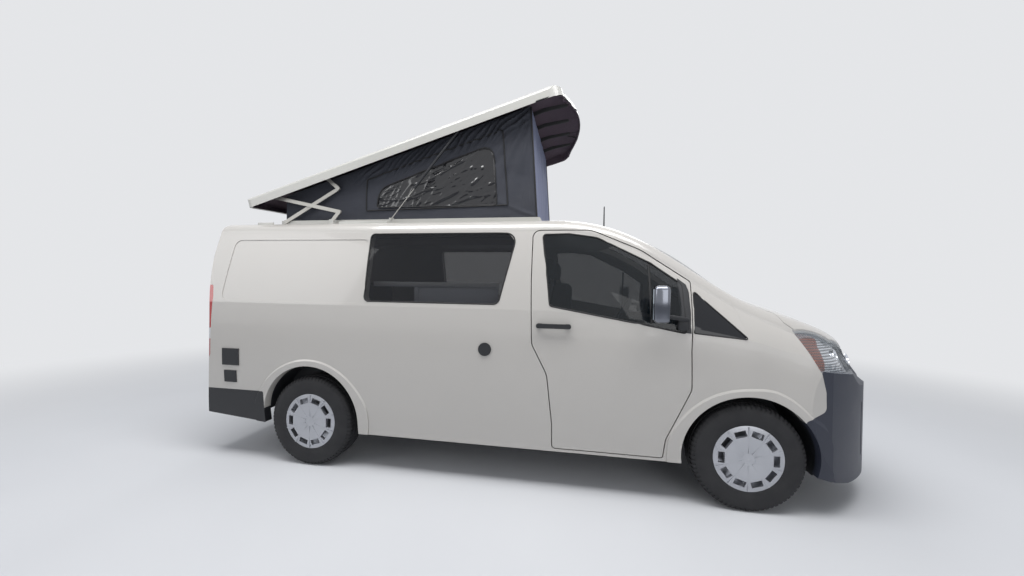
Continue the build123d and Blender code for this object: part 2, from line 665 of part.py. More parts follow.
def rear_bench():
    """The rear bench with its base, seat and back."""
    seat = [(-1780, 860, 30), (-1200, 880, 40), (-1200, 990, 50), (-1780, 970, 30)]
    back = [(-1880, 900, 20), (-1800, 880, 20), (-1740, 960, 30), (-1850, 1480, 40), (-1950, 1480, 40)]
    base = box(-1760, -1260, BENCH_Y[0] + 40, BENCH_Y[1] - 60, FLOOR_HEIGHT + SEAT, 885)
    return side_prism(seat, *BENCH_Y) + side_prism(back, *BENCH_Y) + base


def galley_cabinet():
    """The kitchen and wardrobe units along the right-hand side, behind the cab."""
    low = box(-1180, -60, -1000, GALLEY_Y, FLOOR_HEIGHT + SEAT, GALLEY_TOP)
    tall = box(-1900, -1180, -1000, GALLEY_Y, FLOOR_HEIGHT + SEAT, 1300)
    units = (low + tall) & CABIN
    cut = cylinder_y(*ARCHES[1], LINER_OUTSIDE + SEAT, -1100, LINER + SEAT - REAR_LINER_Y)
    return units - cut - box(REAR_AXLE_X - 425, REAR_AXLE_X + 425, -1100, LINER + SEAT - REAR_LINER_Y, 0, 500)


def engine_block():
    """The engine as one block, with its feet on the subframe."""
    block = box(1420, 2050, -300, 300, ENGINE_BOTTOM, ENGINE_TOP)
    for side in (-1, 1):
        low, high = sorted((side * 180, side * 240))
        block = block + box(FRONT_AXLE_X - 40, FRONT_AXLE_X + 40, low, high, BEAM_TOP + SEAT,
                            ENGINE_BOTTOM + 5)
    return block


def front_crossmember():
    """The subframe with its lower arms; each arm carries the upright on a vertical pin."""
    beam = box(FRONT_AXLE_X - 60, FRONT_AXLE_X + 60, -470, 470, BEAM_BOTTOM, BEAM_TOP)
    mounts = [box(FRONT_AXLE_X - 40, FRONT_AXLE_X + 40, side * RAIL_Y - 25, side * RAIL_Y + 25, BEAM_TOP - 1,
                  RAIL_BOTTOM - SEAT) for side in (-1, 1)]
    arms = []
    for side in (-1, 1):
        low, high = sorted((side * 469, side * KING_PIN_Y))
        arm = box(FRONT_AXLE_X - 35, FRONT_AXLE_X + 35, low, high, 210, 238)
        web_low, web_high = sorted((side * 440, side * (FRONT_LINER_Y - 10)))
        web = box(FRONT_AXLE_X - 35, FRONT_AXLE_X + 35, web_low, web_high, 210, 300)
        pin = Pos(FRONT_AXLE_X, side * KING_PIN_Y, 240) * Cylinder(KING_PIN_RADIUS, 60)
        arms += [arm, web, pin]
    whole = beam + mounts[0] + mounts[1]
    for piece in arms:
        whole = whole + piece
    return whole


def knuckle():
    """The right-hand front upright, with the stub that carries the wheel."""
    upright = box(FRONT_AXLE_X - 32, FRONT_AXLE_X + 32, -KING_PIN_Y - 22, -KING_PIN_Y + 26, 239, 470)
    stub = cylinder_y(FRONT_AXLE_X, TYRE_RADIUS, STUB_RADIUS, -HALF_TRACK - STUB_REACH, -KING_PIN_Y)
    disc = cylinder_y(FRONT_AXLE_X, TYRE_RADIUS, BRAKE_DISC_RADIUS, -KING_PIN_Y - 32, -KING_PIN_Y - 21)
    hole = Pos(FRONT_AXLE_X, -KING_PIN_Y, 240) * Cylinder(KING_PIN_RADIUS + RUNNING_FIT, 64)
    return upright + stub + disc - hole


def rear_axle():
    """A beam axle under the chassis rails, with arms and stubs for the wheels."""
    beam_x = REAR_AXLE_X + 220
    whole = cylinder_y(beam_x, 330, 42, -620, 620)
    for side in (-1, 1):
        arm = box(REAR_AXLE_X - 60, beam_x, *sorted((side * 560, side * 640)), 305, 385)
        stub = cylinder_y(REAR_AXLE_X, TYRE_RADIUS, STUB_RADIUS,
                          *sorted((side * 600, side * (HALF_TRACK + STUB_REACH))))
        disc = cylinder_y(REAR_AXLE_X, TYRE_RADIUS, BRAKE_DISC_RADIUS,
                          *sorted((side * (KING_PIN_Y + 21), side * (KING_PIN_Y + 32))))
        seat = box(beam_x - 40, beam_x + 40, side * RAIL_Y - 25, side * RAIL_Y + 25, 360, RAIL_BOTTOM - SEAT)
        whole = whole + arm + stub + disc + seat
    return whole


def tyre():
    """A tyre with chamfered shoulders and flat-sided walls, at the origin; its hole fits over the rim."""
    half = TYRE_WIDTH / 2
    side = [(RIM_RADIUS, half - 22), (RIM_RADIUS + 22, half - 8), (RIM_RADIUS + 75, half),
            (TYRE_RADIUS - 28, half - 11), (TYRE_RADIUS - 7, half - 22), (TYRE_RADIUS, half - 42)]
    corners = side + [(radius, -across) for radius, across in reversed(side)]
    profile = make_face([Line(a, b) for a, b in zip(corners, corners[1:] + corners[:1])])
    return revolve(profile, axis=Axis.Y)


def rim():
    """A steel wheel under a hubcap with ten openings and blades, for the right-hand side, at the origin."""
    half = TYRE_WIDTH / 2 - RIM_INSET
    radius = RIM_RADIUS - SEAT
    well = radius - RIM_SHEET
    face = -half - 6
    profile = make_face([
        Line((STUB_RADIUS + RUNNING_FIT, -20), (well, -20)),
        Line((well, -20), (well, half)),
        Line((well, half), (radius, half)),
        Line((radius, half), (radius, face - 6)),
        Line((radius, face - 6), (HUBCAP_RADIUS, face - 6)),
        Line((HUBCAP_RADIUS, face - 6), (HUBCAP_RADIUS, face - 10)),
        ThreePointArc((HUBCAP_RADIUS, face - 10), (150, face - 20), (HUB_RADIUS, face - 14)),
        Line((HUB_RADIUS, face - 14), (0, face - 16)),
        Line((0, face - 16), (0, face + 8)),
        Line((0, face + 8), (well, face + 8)),
        Line((well, face + 8), (well, -34)),
        Line((well, -34), (STUB_RADIUS + RUNNING_FIT, -34)),
        Line((STUB_RADIUS + RUNNING_FIT, -34), (STUB_RADIUS + RUNNING_FIT, -20)),
    ])
    step = 360 / HUBCAP_BLADES
    slots, blades = [], []
    for index in range(HUBCAP_BLADES):
        slot = Pos(0, face, HUBCAP_SLOT_RADIUS) * Box(*HUBCAP_SLOT)
        slots.append(slot.rotate(Axis.Y, (index + 0.5) * step))
        blade = Box(*HUBCAP_BLADE, HUBCAP_RADIUS - HUB_RADIUS - 12)
        blade = Pos(0, face - 15, (HUBCAP_RADIUS + HUB_RADIUS) / 2) * blade
        blades.append(blade.rotate(Axis.Y, index * step))
    return (revolve(profile, axis=Axis.Y) - slots) + blades


def steering_wheel():
    """The wheel and its column, on the left; the column ends at the dashboard."""
    ring = Torus(188, 15)
    hub = Cylinder(55, 34) + Pos(0, 0, -42) * Cylinder(24, 56 - 2 * SEAT)
    spokes = Box(350, 34, 16)
    return steering_plane() * (ring + hub + spokes)


def mirror_housing():
    """The right-hand door mirror with its foot on the door."""
    housing = fillet(box(*MIRROR_BOX).edges(), MIRROR_EDGE)
    section = Plane(origin=MIRROR_ARM_START, z_dir=MIRROR_ARM_RUN) * Rectangle(*MIRROR_ARM_SECTION)
    bar = extrude(section, amount=math.hypot(*MIRROR_ARM_RUN))
    foot = side_prism(MIRROR_FOOT, -986, -900)
    return (housing + bar + foot) - ABOVE_SKIN


def door_handle():
    """A pull handle that stands off the right-hand door on two feet."""
    grip = side_prism(HANDLE, -1002, -986)
    feet = [side_prism(HANDLE, -987, -940) & box(x - 18, x + 18, -1100, -900, 1100, 1250)
            for x in HANDLE_FEET]
    return (grip + feet[0] + feet[1]) - ABOVE_SKIN


def side_inlets():
    """The covers on the right-hand side: two vents behind the rear wheel and the filler cap."""
    pieces = [TRIM_SHEET & box(rear, front, -1100, 0, low, high) for rear, front, low, high in INLETS]
    x, z = FILLER_CENTRE
    pieces.append(TRIM_SHEET & cylinder_y(x, z, FILLER_RADIUS, -1100, 0))
    return Compound(children=[solid for piece in pieces for solid in piece.solids()])


def fuel_tank():
    """The tank, strapped up against the underside of both chassis rails."""
    rear, front, bottom = FUEL_TANK
    return box(rear, front, -RAIL_Y - 15, RAIL_Y + 15, bottom, RAIL_BOTTOM - SEAT)


def exhaust():
    """A silencer and tailpipe hung under the floor."""
    silencer, pipe = [Pos(x, *EXHAUST_LINE) * Rot(Y=90) * Cylinder(radius, length)
                      for x, radius, length in (SILENCER, TAILPIPE)]
    x, y = SILENCER[0], EXHAUST_LINE[0]
    hanger = box(x - 20, x + 20, y - 15, y + 15, 400, FLOOR_HEIGHT - FLOOR_THICKNESS - SEAT)
    return silencer + pipe + hanger


def aerial():
    """A short roof mast on a round foot, ahead of the lifting roof."""
    foot = Pos(AERIAL_X, 0, 1950) * Cylinder(AERIAL_FOOT_RADIUS, 60)
    mast = Pos(AERIAL_X, 0, 2085) * Cylinder(AERIAL_MAST_RADIUS, 250)
    return (foot + mast) - ABOVE_SKIN


# Pop-top


def raised(part):
    """Turns a piece from the closed pose to the raised one."""
    x, z = SHELL_CENTRE
    return part.rotate(Axis((x, 0, z), (0, 1, 0)), -SHELL_ANGLE)


def shell_form(inset, low):
    """The shell's outer form in the closed pose, set inwards by an inset and ending at a low edge."""
    half = SHELL_HALF_WIDTH - inset
    shoulder, top = 2016 - inset, 2046 - inset
    section = make_face([
        Line((-half, low), (-half, shoulder)),
        ThreePointArc((-half, shoulder), (-half + 11, top - 9), (-half + 40, top)),
        ThreePointArc((-half + 40, top), (0, top + 12), (half - 40, top)),
        ThreePointArc((half - 40, top), (half - 11, top - 9), (half, shoulder)),
        Line((half, shoulder), (half, low)),
        Line((half, low), (-half, low)),
    ])
    plane = Plane(origin=(-2600, 0, 0), x_dir=(0, 1, 0), z_dir=(1, 0, 0))
    through = extrude(plane * section, amount=3400, dir=(1, 0, 0))
    rear_x = SHELL_REAR + inset
    profile = [(rear_x, low, 0), (rear_x + 8, 2064 - inset, 50), (250, 2064 - inset, 400),
               (600 - inset, 2004 - inset, 10), (650 - inset, low, 0)]
    nose_x, corner_x, corner_y = SHELL_NOSE
    nose_x, corner_x, corner_y = nose_x - inset, corner_x - inset, corner_y - inset
    side_x = corner_x - 110
    edges = [
        ThreePointArc((corner_x, -corner_y), (nose_x, 0), (corner_x, corner_y)),
        ThreePointArc((corner_x, corner_y), (corner_x - 30, half - 30), (side_x, half)),
        Line((side_x, half), (rear_x + 60, half)),
        ThreePointArc((rear_x + 60, half), (rear_x + 18, half - 18), (rear_x, half - 60)),
        Line((rear_x, half - 60), (rear_x, -half + 60)),
        ThreePointArc((rear_x, -half + 60), (rear_x + 18, -half + 18), (rear_x + 60, -half)),
        Line((rear_x + 60, -half), (side_x, -half)),
        ThreePointArc((side_x, -half), (corner_x - 30, -half + 30), (corner_x, -corner_y)),
    ]
    return through & side_prism(profile, -900, 900) & plan_prism(edges)


def pin_y(x, z, radius, y_low, y_high):
    """A pin across the van on its right-hand side, between two distances from the centreline."""
    return cylinder_y(x, z, radius, -y_high, -y_low)


def roof_shell():
    """The lifting roof, with the ears and pins that its arms and struts turn on."""
    shell = shell_form(0, SHELL_RIM) - shell_form(SHELL_WALL, SHELL_RIM - 40) - ABOVE_TRIM
    shell = raised(shell)
    space = raised(shell_form(SHELL_WALL - 2, SHELL_RIM))
    for (x, z), ear_low, ear_high, pin_low, pin_high in (
            (UPPER_ARM[0], LAYER_UPPER + ARM_THICKNESS + SEAT, LAYER_UPPER + 2 * ARM_THICKNESS, LAYER_UPPER,
             LAYER_UPPER + ARM_THICKNESS + 1),
            (LINK_A[0], LAYER_LINK_A + ARM_THICKNESS + SEAT, LAYER_UPPER - SEAT, LAYER_LINK_A,
             LAYER_LINK_A + ARM_THICKNESS + 1)):
        ear = box(x - 22, x + 22, -ear_high, -ear_low, z, z + 200) + pin_y(x, z, 22, ear_low, ear_high)
        ear = (ear & space) + pin_y(x, z, PIN_RADIUS, pin_low, pin_high)
        shell = shell + ear + to_left(ear)
    x, z = STRUT_TOP
    pin = pin_y(x, z, ROD_RADIUS, STRUT_Y - 5, SHELL_HALF_WIDTH - SHELL_WALL + 1)
    return shell + pin + to_left(pin)


def tent_frame():
    """The base frame on the roof that holds the canvas, the arms' root pins and the struts' feet."""
    low_x, high_x = TENT_BASE
    outer_y = TENT_HALF_WIDTH + TENT_RAIL
    inner_y = TENT_HALF_WIDTH - TENT_RAIL
    frame = box(low_x - TENT_RAIL, high_x + TENT_RAIL, -outer_y, outer_y, 1940, TENT_RAIL_TOP)
    frame = frame - box(low_x + TENT_RAIL, high_x - TENT_RAIL, -inner_y, inner_y, 1900, 2100)
    x, z = LOWER_ARM[0]
    ear = box(x - 24, x + 24, -LAYER_LOWER + SEAT, -outer_y + 10, 1940, z + 16)
    frame = frame + ear + to_left(ear)
    for (x, z), ear_low, ear_high in (
            (LINK_B[0], LAYER_LINK_B + ARM_THICKNESS + SEAT, LAYER_LINK_B + 2 * ARM_THICKNESS - SEAT),
            (STRUT_FOOT, STRUT_Y - 15, STRUT_Y - 6)):
        ear = box(x - 20, x + 20, -ear_high, -ear_low, 1900, z + 14)
        foot = box(x - 60, x + 60, -ear_high, -outer_y + 10, 1900, 1962)
        frame = frame + ear + foot + to_left(ear) + to_left(foot)
    frame = frame - ABOVE_SKIN
    for (x, z), radius, pin_low, pin_high in (
            (LOWER_ARM[0], PIN_RADIUS, LAYER_LOWER - 2, LAYER_LOWER + ARM_THICKNESS),
            (LINK_B[0], PIN_RADIUS, LAYER_LINK_B, LAYER_LINK_B + ARM_THICKNESS + 1),
            (STRUT_FOOT, ROD_RADIUS, STRUT_Y - 7, STRUT_Y + 6)):
        pin = pin_y(x, z, radius, pin_low, pin_high)
        frame = frame + pin + to_left(pin)
    return frame


def canvas():
    """The tent's walls, a wedge that is open at the top and at the bottom."""
    low_x, high_x = TENT_BASE
    base = TENT_RAIL_TOP + SEAT
    outer = side_prism([(low_x, base, 0), (high_x, base, 0), (*CANVAS_TOP[0], 0), (*CANVAS_TOP[1], 0)],
                       -TENT_HALF_WIDTH, TENT_HALF_WIDTH)
    inner_y = TENT_HALF_WIDTH - CANVAS
    inner = side_prism([(low_x + CANVAS, base - 50, 0), (high_x - CANVAS, base - 50, 0),
                        (CANVAS_TOP[0][0] - CANVAS, CANVAS_TOP[0][1] + 50, 0),
                        (CANVAS_TOP[1][0] + CANVAS, CANVAS_TOP[1][1] + 50, 0)], -inner_y, inner_y)
    return outer - inner


def arm(pins, layer, bore):
    """A flat bar between two pins, in one layer across the van; its carrying end is bored."""
    (x1, z1), (x2, z2) = pins
    length = math.hypot(x2 - x1, z2 - z1)
    angle = math.degrees(math.atan2(z2 - z1, x2 - x1))
    near, far = [Pos(end * length / 2, 0, 0) * Rot(X=90) for end in (-1, 1)]
    bar = Box(length, ARM_THICKNESS, ARM_WIDTH) + far * Cylinder(ARM_WIDTH / 2, ARM_THICKNESS)
    bar = bar + near * Cylinder(ARM_WIDTH / 2, ARM_THICKNESS) - near * Cylinder(bore, 3 * ARM_THICKNESS)
    return Pos((x1 + x2) / 2, -layer - ARM_THICKNESS / 2, (z1 + z2) / 2) * Rot(Y=-angle) * bar


def strut_frame():
    """A plane at the strut's upper eye, with its z axis down the strut, and the length between the eyes."""
    (x1, z1), (x2, z2) = STRUT_TOP, STRUT_FOOT
    length = math.hypot(x2 - x1, z2 - z1)
    direction = Vector((x2 - x1) / length, 0, (z2 - z1) / length)
    return Plane(origin=(x1, -STRUT_Y, z1), x_dir=(0, 1, 0), z_dir=direction), length


def strut_cylinder():
    """The gas strut's tube, hung from the shell by its eye and bored for the rod."""
    plane, _ = strut_frame()
    tube = Pos(0, 0, STRUT_TUBE / 2 + 12) * Cylinder(STRUT_RADIUS, STRUT_TUBE - 24)
    tube = tube + Rot(Y=90) * Cylinder(STRUT_EYE, 8) + Pos(0, 0, 14) * Box(8, 12, 26)
    tube = tube - Pos(0, 0, STRUT_TUBE / 2 + 40) * Cylinder(ROD_RADIUS + RUNNING_FIT, STRUT_TUBE - 10)
    return plane * (tube - Rot(Y=90) * Cylinder(ROD_RADIUS + RUNNING_FIT, 20))


def strut_rod():
    """The gas strut's rod, whose eye turns on the pin at the strut's foot."""
    plane, length = strut_frame()
    start = STRUT_TUBE - ROD_INSIDE
    rod = Pos(0, 0, (start + length - 5) / 2) * Cylinder(ROD_RADIUS - 0.5, length - 5 - start)
    rod = rod + Pos(0, 0, length) * Rot(Y=90) * Cylinder(STRUT_EYE, 8)
    return plane * (rod - Pos(0, 0, length) * Rot(Y=90) * Cylinder(ROD_RADIUS + 1.0, 20))


def side_glass():
    """The fixed side windows: both front quarters, and the rear window on each side."""
    quarter = GLASS_SHEET & right_prism(QUARTER_GLASS)
    rear = GLASS_SHEET & right_prism(REAR_WINDOW)
    return Compound(children=[*both(quarter).solids(), *both(rear).solids()])


def make_nodes():
    """Every node of the van, by name."""
    door = cab_door()
    door_glass = GLASS_SHEET & right_prism(DOOR_GLASS)
    door_mirror = mirror_housing()
    handle = door_handle()
    base = side_base()
    right = base - right_prism(REAR_WINDOW, SEAT)
    left = to_left(base - SLIDING_OPENING)
    liners = [arch_liner(*ARCHES[0], FRONT_LINER_Y, 255), arch_liner(*ARCHES[1], REAR_LINER_Y, 410)]
    link_bore = PIN_RADIUS + RUNNING_FIT
    nodes = {
        "floor_pan": floor_pan(),
        "bulkhead": bulkhead(),
        "wheel_housings": both(Compound(children=liners)),
        "side_panel_right": right,
        "side_panel_left": left,
        "roof_panel": roof_panel(),
        "front_fenders": both(front_fender()),
        "cowl": cowl(),
        "grille": grille(),
        "front_bumper": front_bumper(),
        "rear_bumper": rear_bumper(),
        "headlamps": both(headlamp()),
        "tail_lamps": both(tail_lamp()),
        "windscreen": GLASS_SHEET & windscreen_prism(0),
        "side_glass": side_glass(),
        "sliding_door": sliding_door(),
        "dashboard": dashboard(),
        "front_seats": both(front_seat(-420)),
        "rear_bench": rear_bench(),
        "galley_cabinet": galley_cabinet(),
        "engine_block": engine_block(),
        "front_crossmember": front_crossmember(),
        "rear_axle": rear_axle(),
        "fuel_tank": fuel_tank(),
        "exhaust": exhaust(),
        "side_inlets": side_inlets(),
        "aerial": aerial(),
        "door_right": door,
        "door_left": to_left(door),
        "door_glass_right": door_glass,
        "door_glass_left": to_left(door_glass),
        "mirror_right": door_mirror,
        "mirror_left": to_left(door_mirror),
        "handle_right": handle,
        "handle_left": to_left(handle),
        "tailgate": tailgate(),
        "tailgate_glass": GLASS_SHEET & end_prism(TAILGATE_GLASS, -2800, -2300),
        "bonnet": bonnet(),
        "tent_frame": tent_frame(),
        "canvas": canvas(),
        "roof_shell": roof_shell(),
        "lower_arms": both(arm(LOWER_ARM, LAYER_LOWER, link_bore)),
        "upper_arms": both(arm(UPPER_ARM, LAYER_UPPER, link_bore)),
        "links_a": both(arm(LINK_A, LAYER_LINK_A, link_bore)),
        "links_b": both(arm(LINK_B, LAYER_LINK_B, link_bore)),
        "strut_cylinders": both(strut_cylinder()),
        "strut_rods": both(strut_rod()),
        "steering_wheel": steering_wheel(),
        "knuckle_right": knuckle(),
        "knuckle_left": to_left(knuckle()),
    }
    wheel_tyre, wheel_rim = tyre(), rim()
    for end, x in (("front", FRONT_AXLE_X), ("rear", REAR_AXLE_X)):
        for kind, piece in (("tyre_", wheel_tyre), ("rim_", wheel_rim)):
            placed = Pos(x, -HALF_TRACK, TYRE_RADIUS) * piece
            nodes[kind + end + "_right"], nodes[kind + end + "_left"] = placed, to_left(placed)
    return nodes


os.makedirs("parts", exist_ok=True)
for node_name, shape in make_nodes().items():
    export_step(shape, "parts/" + node_name + ".step")
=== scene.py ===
# %% [markdown]
# A camper van with a raised pop-top roof. The solids come packed from the CAD model as a fixed frame, in
# metres, with +X towards the nose, +Y to the van's left and +Z up. This file gives them their looks:
# paint, glass, rubber and cloth, and the softer or smaller pieces that a solid model leaves out.

# %% Load the frame
import bpy
import json
import math
from mathutils import Matrix, Vector, kdtree, noise
from mathutils.bvhtree import BVHTree

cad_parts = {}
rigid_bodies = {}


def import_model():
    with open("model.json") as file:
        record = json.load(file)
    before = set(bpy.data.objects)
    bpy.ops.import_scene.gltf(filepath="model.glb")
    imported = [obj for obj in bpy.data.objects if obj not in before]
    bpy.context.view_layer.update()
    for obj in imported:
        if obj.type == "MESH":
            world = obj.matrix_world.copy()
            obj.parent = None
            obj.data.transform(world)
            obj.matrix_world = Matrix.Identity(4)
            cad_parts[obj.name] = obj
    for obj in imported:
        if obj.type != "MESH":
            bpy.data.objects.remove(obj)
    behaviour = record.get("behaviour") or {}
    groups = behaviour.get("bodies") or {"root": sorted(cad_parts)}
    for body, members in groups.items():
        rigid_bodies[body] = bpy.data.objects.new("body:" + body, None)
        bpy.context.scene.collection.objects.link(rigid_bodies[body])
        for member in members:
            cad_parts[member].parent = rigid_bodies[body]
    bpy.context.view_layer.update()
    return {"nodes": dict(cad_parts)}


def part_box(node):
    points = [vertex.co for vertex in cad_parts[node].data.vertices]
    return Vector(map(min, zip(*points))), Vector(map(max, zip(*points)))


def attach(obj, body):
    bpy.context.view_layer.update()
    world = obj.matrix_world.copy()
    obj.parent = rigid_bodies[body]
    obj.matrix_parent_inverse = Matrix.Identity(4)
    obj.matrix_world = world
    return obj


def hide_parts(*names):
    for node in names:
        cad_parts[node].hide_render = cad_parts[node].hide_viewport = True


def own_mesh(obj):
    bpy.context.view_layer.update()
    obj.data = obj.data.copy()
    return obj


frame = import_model()
NODES = frame["nodes"]

# %% [markdown]
# The photograph was taken with a very wide lens from just ahead of the van's middle, at about chest
# height. Its place was worked out from known points of the van: axle centres, roof, sill and window
# corners. The camera here stands at the same point with the same field of view, so the two pictures can
# be laid over each other.

# %% Camera
PHOTO_WIDTH = 1024
FOCAL_PIXELS = 386.05
SENSOR_WIDTH = 36.0
CAMERA_PLACE = Vector((0.4893, -3.6871, 1.4694))
CAMERA_YAW, CAMERA_PITCH, CAMERA_ROLL = -0.1761, -0.0084, 0.0156

camera_data = bpy.data.cameras.new("camera")
camera_data.sensor_width = SENSOR_WIDTH
camera_data.lens = FOCAL_PIXELS / PHOTO_WIDTH * SENSOR_WIDTH
camera = bpy.data.objects.new("camera", camera_data)
bpy.context.scene.collection.objects.link(camera)
level = math.cos(CAMERA_PITCH)
forward = Vector((math.sin(CAMERA_YAW) * level, math.cos(CAMERA_YAW) * level, math.sin(CAMERA_PITCH)))
level_right = forward.cross(Vector((0, 0, 1))).normalized()
level_up = level_right.cross(forward)
right = level_right * math.cos(CAMERA_ROLL) + level_up * math.sin(CAMERA_ROLL)
up = right.cross(forward)
camera.matrix_world = Matrix.Translation(CAMERA_PLACE) @ Matrix((right, up, -forward)).transposed().to_4x4()
bpy.context.scene.camera = camera
print("lens", round(camera_data.lens, 2), "mm")

# %% [markdown]
# The studio starts with a large pale floor. It is one plane, with a slow change of tone so that it
# doesn't look like paper. Further out it fades into the colour of the background, so that no horizon
# shows. The fade is for the camera alone, and near the van the floor keeps its shadow.

# %% Floor
FLOOR_SIZE = 80.0
FLOOR_DARK, FLOOR_PALE = (0.60, 0.61, 0.635, 1), (0.66, 0.67, 0.69, 1)
FLOOR_TONE_SCALE, FLOOR_ROUGHNESS = 0.7, 0.6
FADE_START, FADE_END = 3.8, 9.0
BACKGROUND = (0.78, 0.79, 0.81, 1)


def deselect():
    for item in bpy.context.selected_objects:
        item.select_set(False)


def only(item):
    """Makes one object the selected and active one."""
    deselect()
    item.select_set(True)
    bpy.context.view_layer.objects.active = item


def new_material(name):
    """A material with its Principled shader and its node tree."""
    material = bpy.data.materials.new(name)
    material.use_nodes = True
    return material, material.node_tree.nodes["Principled BSDF"], material.node_tree


deselect()
bpy.ops.mesh.primitive_plane_add(size=FLOOR_SIZE, location=(0, 0, 0))
floor = bpy.context.object
floor.name = "studio_floor"
floor_material, floor_shader, floor_tree = new_material("studio_floor")
floor_shader.inputs["Roughness"].default_value = FLOOR_ROUGHNESS
floor_noise = floor_tree.nodes.new("ShaderNodeTexNoise")
floor_noise.inputs["Scale"].default_value = FLOOR_TONE_SCALE
floor_place = floor_tree.nodes.new("ShaderNodeTexCoord")
floor_ramp = floor_tree.nodes.new("ShaderNodeValToRGB")
floor_ramp.color_ramp.elements[0].color = FLOOR_DARK
floor_ramp.color_ramp.elements[1].color = FLOOR_PALE
floor_tree.links.new(floor_place.outputs["Object"], floor_noise.inputs["Vector"])
floor_tree.links.new(floor_noise.outputs["Fac"], floor_ramp.inputs["Fac"])
floor_tree.links.new(floor_ramp.outputs["Color"], floor_shader.inputs["Base Color"])
far_glow = floor_tree.nodes.new("ShaderNodeEmission")
far_glow.inputs["Color"].default_value = BACKGROUND
far_glow.inputs["Strength"].default_value = 1.0
distance = floor_tree.nodes.new("ShaderNodeVectorMath")
distance.operation = "LENGTH"
fade = floor_tree.nodes.new("ShaderNodeMapRange")
fade.interpolation_type = "SMOOTHSTEP"
fade.inputs["From Min"].default_value, fade.inputs["From Max"].default_value = FADE_START, FADE_END
floor_rays = floor_tree.nodes.new("ShaderNodeLightPath")
seen_share = floor_tree.nodes.new("ShaderNodeMath")
seen_share.operation = "MULTIPLY"
floor_mix = floor_tree.nodes.new("ShaderNodeMixShader")
floor_tree.links.new(floor_place.outputs["Object"], distance.inputs[0])
floor_tree.links.new(distance.outputs["Value"], fade.inputs["Value"])
floor_tree.links.new(fade.outputs["Result"], seen_share.inputs[0])
floor_tree.links.new(floor_rays.outputs["Is Camera Ray"], seen_share.inputs[1])
floor_tree.links.new(seen_share.outputs[0], floor_mix.inputs[0])
floor_tree.links.new(floor_shader.outputs[0], floor_mix.inputs[1])
floor_tree.links.new(far_glow.outputs[0], floor_mix.inputs[2])
floor_tree.links.new(floor_mix.outputs[0], floor_tree.nodes["Material Output"].inputs[0])
floor.data.materials.append(floor_material)
print("floor", FLOOR_SIZE, "m")

# %% [markdown]
# The world is soft even light from all round. What the camera, mirrors and glass see of it is the pale
# background at full strength. The diffuse light that reaches the van is much weaker than that, so the
# cream paint keeps its shading. Each kind of ray is told apart by its own output of the light path.

# %% World
FILL_COLOR = (0.86, 0.90, 0.97, 1)
FILL_STRENGTH = 0.36
world = bpy.data.worlds.new("studio")
bpy.context.scene.world = world
world.use_nodes = True
world_nodes, world_links = world.node_tree.nodes, world.node_tree.links
fill_light = world_nodes["Background"]
fill_light.inputs["Color"].default_value = FILL_COLOR
fill_light.inputs["Strength"].default_value = FILL_STRENGTH
seen = world_nodes.new("ShaderNodeBackground")
seen.inputs["Color"].default_value = BACKGROUND
seen.inputs["Strength"].default_value = 1.0
rays = world_nodes.new("ShaderNodeLightPath")
total = rays.outputs["Is Camera Ray"]
for kind in ("Is Glossy Ray", "Is Transmission Ray"):
    either = world_nodes.new("ShaderNodeMath")
    either.operation = "MAXIMUM"
    world_links.new(total, either.inputs[0])
    world_links.new(rays.outputs[kind], either.inputs[1])
    total = either.outputs[0]
pick = world_nodes.new("ShaderNodeMixShader")
world_links.new(total, pick.inputs[0])
world_links.new(fill_light.outputs[0], pick.inputs[1])
world_links.new(seen.outputs[0], pick.inputs[2])
world_links.new(pick.outputs[0], world_nodes["World Output"].inputs[0])
print("world light", FILL_STRENGTH)

# %% [markdown]
# Broad lamps above and beside the van, as in a photographer's studio, give soft shadows and long
# reflections in the paint. Each is aimed at the middle of the van. The strongest hangs over the side that
# the camera sees.

# %% Lamps
AIM = Vector((0, 0, 1.0))
SOFT_LAMPS = [
    # place, width, length, power
    ((0.0, -2.0, 5.8), 2.2, 7.0, 340.0),
    ((4.0, -7.5, 3.2), 4.0, 4.0, 75.0),
    ((-5.5, -4.5, 3.5), 3.0, 3.0, 50.0),
    ((0.0, 4.5, 5.6), 3.0, 7.0, 200.0),
]

for index, (place, width, length, power) in enumerate(SOFT_LAMPS):
    lamp_data = bpy.data.lights.new("soft_lamp_%d" % index, "AREA")
    lamp_data.shape = "RECTANGLE"
    lamp_data.size, lamp_data.size_y = length, width
    lamp_data.energy = power
    lamp = bpy.data.objects.new(lamp_data.name, lamp_data)
    bpy.context.scene.collection.objects.link(lamp)
    lamp.location = place
    lamp.rotation_euler = (AIM - Vector(place)).to_track_quat("-Z", "Y").to_euler()
bpy.context.scene.view_settings.view_transform = "Standard"
print("lamps", len(SOFT_LAMPS))

# %% [markdown]
# Several finishes share an effect, so each effect is a node group with named sockets: a slow change of
# tone, as dust and handling leave on a panel; a fine moulded grain; the threads of a woven cloth; and a
# mask that is white between two limits along one direction of the van.


# %% Shared effects
def new_group(name, inputs, outputs):
    """A shader node group with sockets of the given names, kinds and values."""
    group = bpy.data.node_groups.new(name, "ShaderNodeTree")
    for label, kind, value in inputs:
        group.interface.new_socket(label, in_out="INPUT", socket_type=kind).default_value = value
    for label, kind in outputs:
        group.interface.new_socket(label, in_out="OUTPUT", socket_type=kind)
    return group, group.nodes.new("NodeGroupInput"), group.nodes.new("NodeGroupOutput")


def math_node(tree, operation, first, second):
    """A Math node; each input is a socket or a number."""
    node = tree.nodes.new("ShaderNodeMath")
    node.operation = operation
    for socket, value in zip(node.inputs, (first, second)):
        if isinstance(value, (int, float)):
            socket.default_value = value
        else:
            tree.links.new(value, socket)
    return node.outputs[0]


